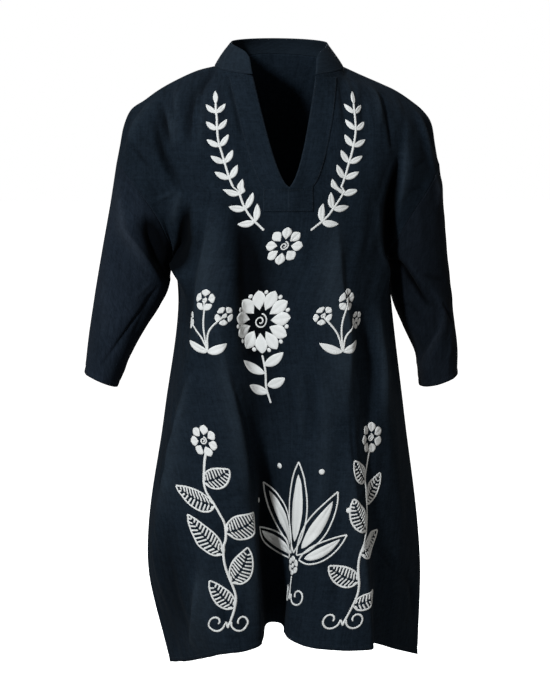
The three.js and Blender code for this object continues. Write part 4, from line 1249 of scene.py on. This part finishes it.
def stitch_row(line, normals):
    """Small pointed stitches along a line of points that lies on the cloth."""
    travelled = distance_along(line)
    points, faces = [], []

    def at(distance, source):
        return np.array([np.interp(distance, travelled, source[:, k]) for k in range(3)])

    for start in np.arange(1.0, travelled[-1] - STITCH_LENGTH, STITCH_PITCH):
        a, b = at(start, line), at(start + STITCH_LENGTH, line)
        out = at(start + STITCH_LENGTH / 2, normals)
        along = (b - a) / max(np.linalg.norm(b - a), 1e-6)
        wide = np.cross(along, out) * STITCH_HALF_WIDTH
        middle = (a + b) / 2 + out * 0.12
        n = len(points)
        points += [a - out * 0.15, b - out * 0.15, middle + wide, middle - wide]
        points += [middle + out * STITCH_HALF_WIDTH, middle - out * 0.4]
        ring = (n, n + 2, n + 1, n + 3)
        for one, other in zip(ring, ring[1:] + ring[:1]):
            faces += [(one, other, n + 4), (one, n + 5, other)]
    return points, faces


def thread_material(name, dark, pale, roughness, sheen, along_uv, scale):
    """Thread of fine fibres, darker between them. The scale is fibres per metre, each way."""
    material = bpy.data.materials.new(name)
    material.use_nodes = True
    tree = material.node_tree
    shader = tree.nodes["Principled BSDF"]
    shader.inputs["Roughness"].default_value = roughness
    shader.inputs["Specular IOR Level"].default_value = 0.25
    shader.inputs["Sheen Weight"].default_value = sheen
    if along_uv:
        place = node(tree, "UVMap", uv_map="thread").outputs["UV"]
    else:
        place = node(tree, "TexCoord").outputs["Object"]
    fibres = streaks(tree, place, scale, 2)
    tree.links.new(mixed(tree, fibres, dark, pale), shader.inputs["Base Color"])
    ridges = node(tree, "Bump", {"Strength": 0.5, "Distance": 0.0003, "Height": fibres})
    tree.links.new(ridges.outputs["Normal"], shader.inputs["Normal"])
    return material


navy_thread = thread_material(
    "navy_thread", (0.006, 0.010, 0.015), (0.020, 0.028, 0.038), 0.6, 0.05, False, (900, 900, 900)
)


def stitched(name, rows, material):
    """One object from several rows of stitches."""
    points, faces = [], []
    for line, normals in rows:
        more, more_faces = stitch_row(line, normals)
        faces += [tuple(i + len(points) for i in face) for face in more_faces]
        points += more
    piece = new_piece(name, points, faces, material)
    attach(piece, "root")
    return piece


def line_at(sheet, normals, distance, wanted, lift):
    """The line of a sheet at a set distance from its edge, down its columns."""
    line, out = [], []
    for c in range(sheet.shape[1]):
        d = distance[::-1, c]
        line.append([np.interp(wanted, d, sheet[::-1, c, k]) for k in range(3)])
        out.append([np.interp(wanted, d, normals[::-1, c, k]) for k in range(3)])
    line, out = np.array(line), np.array(out)
    return line + out * lift, out


on_cloth = CLOTH_THICKNESS / 2
rows = []
for fine, normals, edges in (
    (front_fine, front_normals, front_edges), (back_fine, back_normals, back_edges),
):
    for side in ("left", "right"):
        rows.append(
            line_at(fine[side], normals[side], edges[side]["hem"], HEM_WIDTH - STITCH_INSET, on_cloth)
        )
hem_stitches = stitched("hem_stitches", rows, navy_thread)
rows = [line_at(*cuff_lines[side], CUFF_WIDTH - STITCH_INSET, on_cloth) for side in ("left", "right")]
stitched("cuff_stitches", rows, navy_thread)

rows = []
for side in ("left", "right"):
    sheet = placket_grids[side][:, fold:]
    out = facing(sheet, -1)
    for column in (1, PLACKET_COLUMNS - 1):
        last = PLACKET_ROWS + 1 if column == 1 else total_rows - 1
        rows.append(
            (sheet[2:last, column] + out[2:last, column] * PLACKET_THICKNESS / 2, out[2:last, column])
        )
    for row in (PLACKET_ROWS + 2, total_rows - 1):
        rows.append((sheet[row, :-1] + out[row, :-1] * PLACKET_THICKNESS / 2, out[row, :-1]))
placket_stitches = stitched("placket_stitches", rows, navy_thread)
rows = []
for r in (2, COLLAR_ROWS - 2):
    line, out = collar_grid[r, 3:-3], collar_normals[r, 3:-3]
    rows.append((line + out * COLLAR_THICKNESS / 2, out))
collar_stitches = stitched("collar_stitches", rows, navy_thread)

# ----------------------------------------------------------------------------------------------
# Embroidery. White cotton thread worked by machine on the front: leaves and petals in raised
# satin stitch, and stems, outlines and spirals in thick chain stitch.
# ----------------------------------------------------------------------------------------------

SATIN_HEIGHT, CHAIN_HEIGHT, CHAIN_WIDTH, CHAIN_LOOP = 1.1, 1.2, 4.0, 3.6
LEAF_STEPS, OPEN_LEAF_STEPS = 16, 8
LEAF_ACROSS = (-1, -0.86, -0.55, -0.16, 0, 0.16, 0.55, 0.86, 1)
LEAF_HEIGHTS = (-0.35, 0.55, 0.95, 0.8, 0.35, 0.8, 0.95, 0.55, -0.35)
CHAIN_ACROSS = (-1, -0.7, 0, 0.7, 1)
CHAIN_HEIGHTS = (-0.4, 0.65, 1, 0.65, -0.4)


def heading_of(way):
    """The direction of a step in degrees from straight up, towards the right."""
    return math.degrees(math.atan2(way[0], way[1]))


def spine(s, z, angle, length, bend, steps):
    """The middle line of a leaf from its stalk end, and the way to its right at each point."""
    heading = np.radians(angle + bend * (np.linspace(0, 1, steps + 1) - 0.5))
    ahead = np.stack([np.sin(heading), np.cos(heading)], 1)
    moved = np.concatenate([np.zeros((1, 2)), np.cumsum(ahead[:-1] * (length / steps), axis=0)])
    return np.array([s, z]) + moved, ahead[:, ::-1] * (1, -1)


class Stitching:
    """Gathers raised stitching on the front as strips of points in cloth coordinates: the distance
    along the cloth from its middle, and the height."""

    def __init__(self):
        self.strips = []

    def leaf(self, s, z, angle, length, width, bend=0.0, tip=0.9):
        """A satin leaf or petal from its stalk end. The angle is in degrees from straight up,
        towards the right, and the bend is how far it turns on its way."""
        u = np.linspace(0, 1, LEAF_STEPS + 1)
        middle, side = spine(s, z, angle, length, bend, LEAF_STEPS)
        half = width / 2 * np.sin(np.pi * u**tip) ** 0.75
        across, heights = np.array(LEAF_ACROSS), np.array(LEAF_HEIGHTS)
        grid_s = middle[:, :1] + side[:, :1] * half[:, None] * across
        grid_z = middle[:, 1:] + side[:, 1:] * half[:, None] * across
        body = np.clip(half / (width * 0.3), 0.05, 1)[:, None]
        lift = SATIN_HEIGHT * heights * np.where(heights > 0, body, 1)
        thread = np.stack([
            np.broadcast_to(half[:, None] * np.abs(across), grid_s.shape),
            u[:, None] * length + 0.7 * half[:, None] * np.abs(across),
        ], -1)
        self.strips.append((grid_s, grid_z, lift, thread))

    def line(self, points, width=CHAIN_WIDTH):
        """A line of chain stitch through points, drawn as a smooth curve."""
        length = sum(math.dist(a, b) for a, b in zip(points, points[1:]))
        path = even_points(points, max(4, round(length)), 8 * len(points) + 40)
        way = np.gradient(path, axis=0)
        way /= np.maximum(np.linalg.norm(way, axis=1, keepdims=True), 1e-6)
        travelled = distance_along(path)
        loop = 0.78 + 0.22 * np.abs(np.sin(np.pi * travelled / CHAIN_LOOP))
        ends = np.clip(np.minimum(travelled, travelled[-1] - travelled) / 1.5 + 0.25, 0, 1)
        across, heights = np.array(CHAIN_ACROSS), np.array(CHAIN_HEIGHTS)
        half = (width / 2 * loop * ends)[:, None] * across
        grid_s = path[:, :1] + way[:, 1:] * half
        grid_z = path[:, 1:] - way[:, :1] * half
        lift = CHAIN_HEIGHT * heights * np.where(heights > 0, (loop * ends)[:, None], 1)
        thread = np.stack([half, np.broadcast_to(travelled[:, None], half.shape)], -1)
        self.strips.append((grid_s, grid_z, lift, thread))

    def knot(self, s, z, radius):
        """A round satin dot."""
        turn = np.linspace(0, 2 * np.pi, 13)[:, None]
        reach = np.array([[1.0, 0.85, 0.5, 0.02]]) * radius
        lift = np.array([[-0.35, 0.6, 1.0, 1.1]]) * np.ones_like(turn)
        grid_s, grid_z = s + reach * np.sin(turn), z + reach * np.cos(turn)
        thread = np.stack([reach * np.cos(turn), reach * np.sin(turn)], -1)
        self.strips.append((grid_s, grid_z, lift, thread))

    def spiral(self, s, z, radius, turns=1.6, start=0.0):
        """A coil of chain stitch that fills a small disc."""
        t = np.linspace(0, 1, int(14 * turns) + 6)
        a = np.radians(start) + t * turns * 2 * np.pi
        r = radius * (1 - 0.82 * t)
        self.line(list(zip(s + r * np.sin(a), z + r * np.cos(a))), 2.6)

    def bloom(self, s, z, radius, petals, width, start=0.0, heart=0.3):
        """A round flower: petals about a coiled heart."""
        for k in range(petals):
            a = start + 360 * k / petals
            base = radius * (heart + 0.06)
            self.leaf(
                s + base * math.sin(math.radians(a)), z + base * math.cos(math.radians(a)),
                a, radius - base, width, tip=1.25,
            )
        self.spiral(s, z, radius * heart * 0.8)

    def bough(self, points, leaf_length, leaf_width, gap, first=0.08, lean=48, taper=0.35):
        """A stem with pairs of leaves that get smaller towards its end."""
        self.line(points)
        length = sum(math.dist(a, b) for a, b in zip(points, points[1:]))
        count = max(2, round(length * (1 - first) / gap))
        path = even_points(points, 200, 300)
        for k in range(count):
            share = first + (1 - first) * (k + 0.5) / count
            i = int(share * 198)
            angle = heading_of(path[i + 2] - path[i])
            size = 1 - taper * share
            for turned in (-1, 1):
                self.leaf(
                    *path[i], angle + turned * lean, leaf_length * size, leaf_width * size,
                    bend=-turned * 24,
                )
        angle = heading_of(path[200] - path[196])
        self.leaf(*path[199], angle, leaf_length * (1 - taper), leaf_width * (1 - taper))

    def laddered(self, s, z, angle, length, width, bend=0.0, pitch=5.2):
        """A leaf worked in outline, with chevrons of stitching inside that leave cloth between."""
        u = np.linspace(0, 1, LEAF_STEPS + 1)
        middle, side = spine(s, z, angle, length, bend, LEAF_STEPS)
        half = width / 2 * np.sin(np.pi * u**0.8) ** 0.8
        for turned in (-1, 1):
            edge = middle + turned * side * half[:, None]
            self.line([tuple(p) for p in edge[::2]], 3.2)
        spots = np.arange(pitch, length - pitch, pitch) / length
        for k, share in enumerate(spots):
            reach = np.interp(share, u, half) - 0.6
            if reach < 3:
                continue
            root = np.array([np.interp(share - 0.035, u, middle[:, i]) for i in (0, 1)])
            top = np.array([np.interp(share + 0.035, u, middle[:, i]) for i in (0, 1)])
            out = np.array([np.interp(share, u, side[:, i]) for i in (0, 1)])
            for turned in (-1, 1):
                start = root + out * turned * (0.4 if k % 2 else 1.4)
                self.line([tuple(start), tuple(top + out * turned * reach)], 2.9)

    def open_leaf(self, s, z, angle, length, width, bend=0.0):
        """A pointed leaf of satin stitch inside an outline of chain stitch."""
        u = np.linspace(0, 1, OPEN_LEAF_STEPS + 1)
        middle, side = spine(s, z, angle, length, bend, OPEN_LEAF_STEPS)
        half = width / 2 * np.sin(np.pi * u**0.85) ** 0.85
        for turned in (-1, 1):
            self.line([tuple(p) for p in middle + turned * side * half[:, None]], 3.0)
        start = middle[1]
        self.leaf(*start, angle, length * 0.74, width * 0.58, bend, tip=0.85)

    def scroll(self, s, z, way, size):
        """A curl of chain stitch that starts level and winds up into a coil."""
        t = np.linspace(0, 1, 15)
        reach = size * (1 - 0.72 * t)
        turn = np.radians(180 + 390 * t)
        middle_s, middle_z = s + way * size * 1.25, z + size * 0.55
        curl_s, curl_z = middle_s - way * reach * np.cos(turn + np.pi), middle_z + reach * np.sin(turn)
        self.line([(s, z + size * 0.1)] + list(zip(curl_s, curl_z)), 3.4)

    def piece(self, name, table, material):
        """The finished object, laid on the front's outer face."""
        points, faces, threads = [], [], []
        for grid_s, grid_z, lift, thread in self.strips:
            spots, _ = spot_on(table, grid_s, grid_z, (on_cloth + lift).ravel(), by_run=True)
            ids = np.arange(grid_s.size).reshape(grid_s.shape) + len(points)
            points += list(spots)
            faces += corners(ids).reshape(-1, 4).tolist()
            threads.append(corners(thread).reshape(-1, 2))
        made = new_piece(name, points, faces, material, {"thread": threads})
        made.data.shade_smooth()
        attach(made, "root")
        return made


white_thread = thread_material(
    "white_thread", (0.70, 0.70, 0.68), (0.96, 0.97, 0.97), 0.62, 0.15, True, (120, 1500, 1)
)

# A garland follows the placket down to a flower below its box
garland = Stitching()
for sign in (-1, 1):
    stem = [(104, -58), (101, -100), (92, -140), (80, -180), (60, -216), (34, -240)]
    garland.bough([(sign * s, z) for s, z in reversed(stem)], 27, 11, 23, first=0.04, taper=0.3)
garland.bloom(0, -262, 27, 8, 15)
garland_stitching = garland.piece("garland_stitching", yoke, white_thread)

# A large round flower with a leafy stem at the waist, and a spray of three small ones either side
waist = Stitching()
waist.bloom(-6, -372, 47, 11, 21, start=16, heart=0.3)
for k in range(11):
    turn = math.radians(16 + 360 * (k + 0.5) / 11)
    waist.knot(-6 + 43 * math.sin(turn), -372 + 43 * math.cos(turn), 3.4)
waist.line([(-6, -421), (-4, -444), (-7, -468), (-4, -492)])
for lean, at, size in ((58, -436, 40), (-60, -448, 42), (66, -466, 34), (-68, -476, 33)):
    waist.leaf(-5, at, lean, size, 15, bend=-lean * 0.4)
for sign, middle_s in ((-1, -104), (1, 116)):
    base = (middle_s, -414)
    for tip_s, tip_z, size in ((-30, 52, 14), (2, 74, 16), (33, 44, 13)):
        tip = (base[0] + sign * tip_s, base[1] + tip_z)
        bow = (base[0] + sign * tip_s * 0.25, base[1] + tip_z * 0.55)
        waist.line([base, bow, tip], 3.4)
        waist.bloom(*tip, size, 5, size * 0.92, start=tip_s * 1.2, heart=0.3)
    for lean in (-68, 64):
        waist.leaf(*base, sign * lean, 36, 13, bend=-sign * lean * 0.5)
waist_stitching = waist.piece("waist_stitching", yoke, white_thread)

# A tall branch of laddered leaves on each side of the skirt, and a plant of pointed leaves between
skirt = Stitching()
for sign, stem, flower in (
    (-1, [(-168, -812), (-158, -766), (-168, -714), (-152, -660), (-160, -608), (-142, -560)], -1),
    (1, [(140, -812), (154, -764), (146, -712), (162, -658), (156, -606), (168, -562)], 1),
):
    skirt.line(stem, 4.4)
    size = 1 if sign < 0 else 0.88
    path = even_points(stem, 100, 200)
    for share, turned, length, width in (
        (0.13, 1, 52, 26), (0.27, -1, 62, 31), (0.43, 1, 68, 33), (0.57, -1, 66, 32),
        (0.72, 1, 60, 30), (0.85, -1, 50, 27),
    ):
        i = int(share * 98)
        angle = heading_of(path[i + 2] - path[i])
        turned *= flower
        skirt.laddered(*path[i], angle + turned * 50, length * size, width * size, bend=-turned * 30)
    skirt.bloom(stem[-1][0], stem[-1][1] + 18, 23, 7, 15, start=8)
    for way in (-1, 1):
        skirt.scroll(*stem[0], way, 15)
for lean, length, width in (
    (0, 136, 40), (-30, 120, 36), (29, 112, 34), (-60, 88, 29), (58, 80, 27),
):
    turn = math.radians(lean)
    skirt.open_leaf(
        40 + 17 * math.sin(turn), -728 + 17 * math.cos(turn), lean, length, width, bend=-lean * 0.45
    )
skirt.bloom(40, -730, 15, 6, 12)
skirt.line([(40, -746), (39, -766), (41, -782)], 3.8)
for way in (-1, 1):
    skirt.scroll(41, -782, way, 16)
for lean, reach in ((-15, 148), (15, 146), (-45, 130), (44, 118)):
    turn = math.radians(lean)
    skirt.knot(40 + reach * math.sin(turn), -728 + reach * math.cos(turn), 4.4)
skirt_stitching = skirt.piece("skirt_stitching", yoke, white_thread)

# ----------------------------------------------------------------------------------------------
# Floor, lights and camera. A pale floor and surround. The key light is in front on the left, with a
# weak fill on the right, a small light above and a broad one behind.
# ----------------------------------------------------------------------------------------------

FLOOR_Z = -1.3
FLOOR_REACH = 40
SURROUND_LIGHT = 0.19

mesh = bpy.data.meshes.new("floor")
mesh.from_pydata(
    [(x * FLOOR_REACH, y * FLOOR_REACH, FLOOR_Z) for x, y in ((-1, -1), (1, -1), (1, 1), (-1, 1))],
    [],
    [(0, 1, 2, 3)],
)
floor_material = bpy.data.materials.new("pale_floor")
floor_material.use_nodes = True
floor_shader = floor_material.node_tree.nodes["Principled BSDF"]
floor_shader.inputs["Base Color"].default_value = (0.9, 0.9, 0.9, 1)
floor_shader.inputs["Roughness"].default_value = 0.9
floor_shader.inputs["Specular IOR Level"].default_value = 0.1
floor_shader.inputs["Emission Color"].default_value = (1, 1, 1, 1)
floor_shader.inputs["Emission Strength"].default_value = 1.0
mesh.materials.append(floor_material)
floor = bpy.data.objects.new("floor", mesh)
floor.visible_diffuse = False
floor.visible_glossy = False
bpy.context.scene.collection.objects.link(floor)

world = bpy.data.worlds.new("pale_surround")
world.use_nodes = True
nodes, links = world.node_tree.nodes, world.node_tree.links
seen = nodes["Background"]
seen.inputs["Color"].default_value = (1, 1, 1, 1)
seen.inputs["Strength"].default_value = 1
lighting = nodes.new("ShaderNodeBackground")
lighting.inputs["Color"].default_value = (1, 0.98, 0.94, 1)
lighting.inputs["Strength"].default_value = SURROUND_LIGHT
rays, choice = nodes.new("ShaderNodeLightPath"), nodes.new("ShaderNodeMixShader")
links.new(rays.outputs["Is Camera Ray"], choice.inputs["Fac"])
links.new(lighting.outputs["Background"], choice.inputs[1])
links.new(seen.outputs["Background"], choice.inputs[2])
links.new(choice.outputs["Shader"], nodes["World Output"].inputs["Surface"])
bpy.context.scene.world = world
bpy.context.scene.view_settings.view_transform = "Standard"

LIGHTS = [  # name, place, aim, size, watts
    ("key", (-2.0, -2.85, 1.0), (0, 0, -0.35), 0.45, 106),
    ("top", (-0.6, 0.5, 2.4), (0, 0, -0.2), 0.8, 14),
    ("fill", (2.2, -2.8, 0.2), (0, 0, -0.45), 1.6, 1.5),
    ("back", (0.3, 3.2, 0.8), (0, 0, -0.4), 1.0, 80),
]
CAMERA_PLACE = (-0.320298, -2.982860, -0.120)
CAMERA_AIM = (-0.006713, 0.000706, -0.415)


def set_up(name, data, place, aim):
    """A light or a camera at its place, turned towards its aim."""
    thing = bpy.data.objects.new(name, data)
    thing.location = place
    x, y, z = np.subtract(aim, place)
    thing.rotation_euler = (math.atan2(math.hypot(x, y), -z), 0, math.atan2(-x, y))
    bpy.context.scene.collection.objects.link(thing)
    return thing


for name, place, aim, size, watts in LIGHTS:
    lamp = bpy.data.lights.new(name, "AREA")
    lamp.shape = "DISK"
    lamp.size = size
    lamp.energy = watts
    lamp.color = (0.93, 0.975, 1.0)
    set_up(name, lamp, place, aim)
lens = bpy.data.cameras.new("camera")
lens.lens = 105.156
lens.sensor_width = 36
lens.clip_end = 200
bpy.context.scene.camera = set_up("camera", lens, CAMERA_PLACE, CAMERA_AIM)
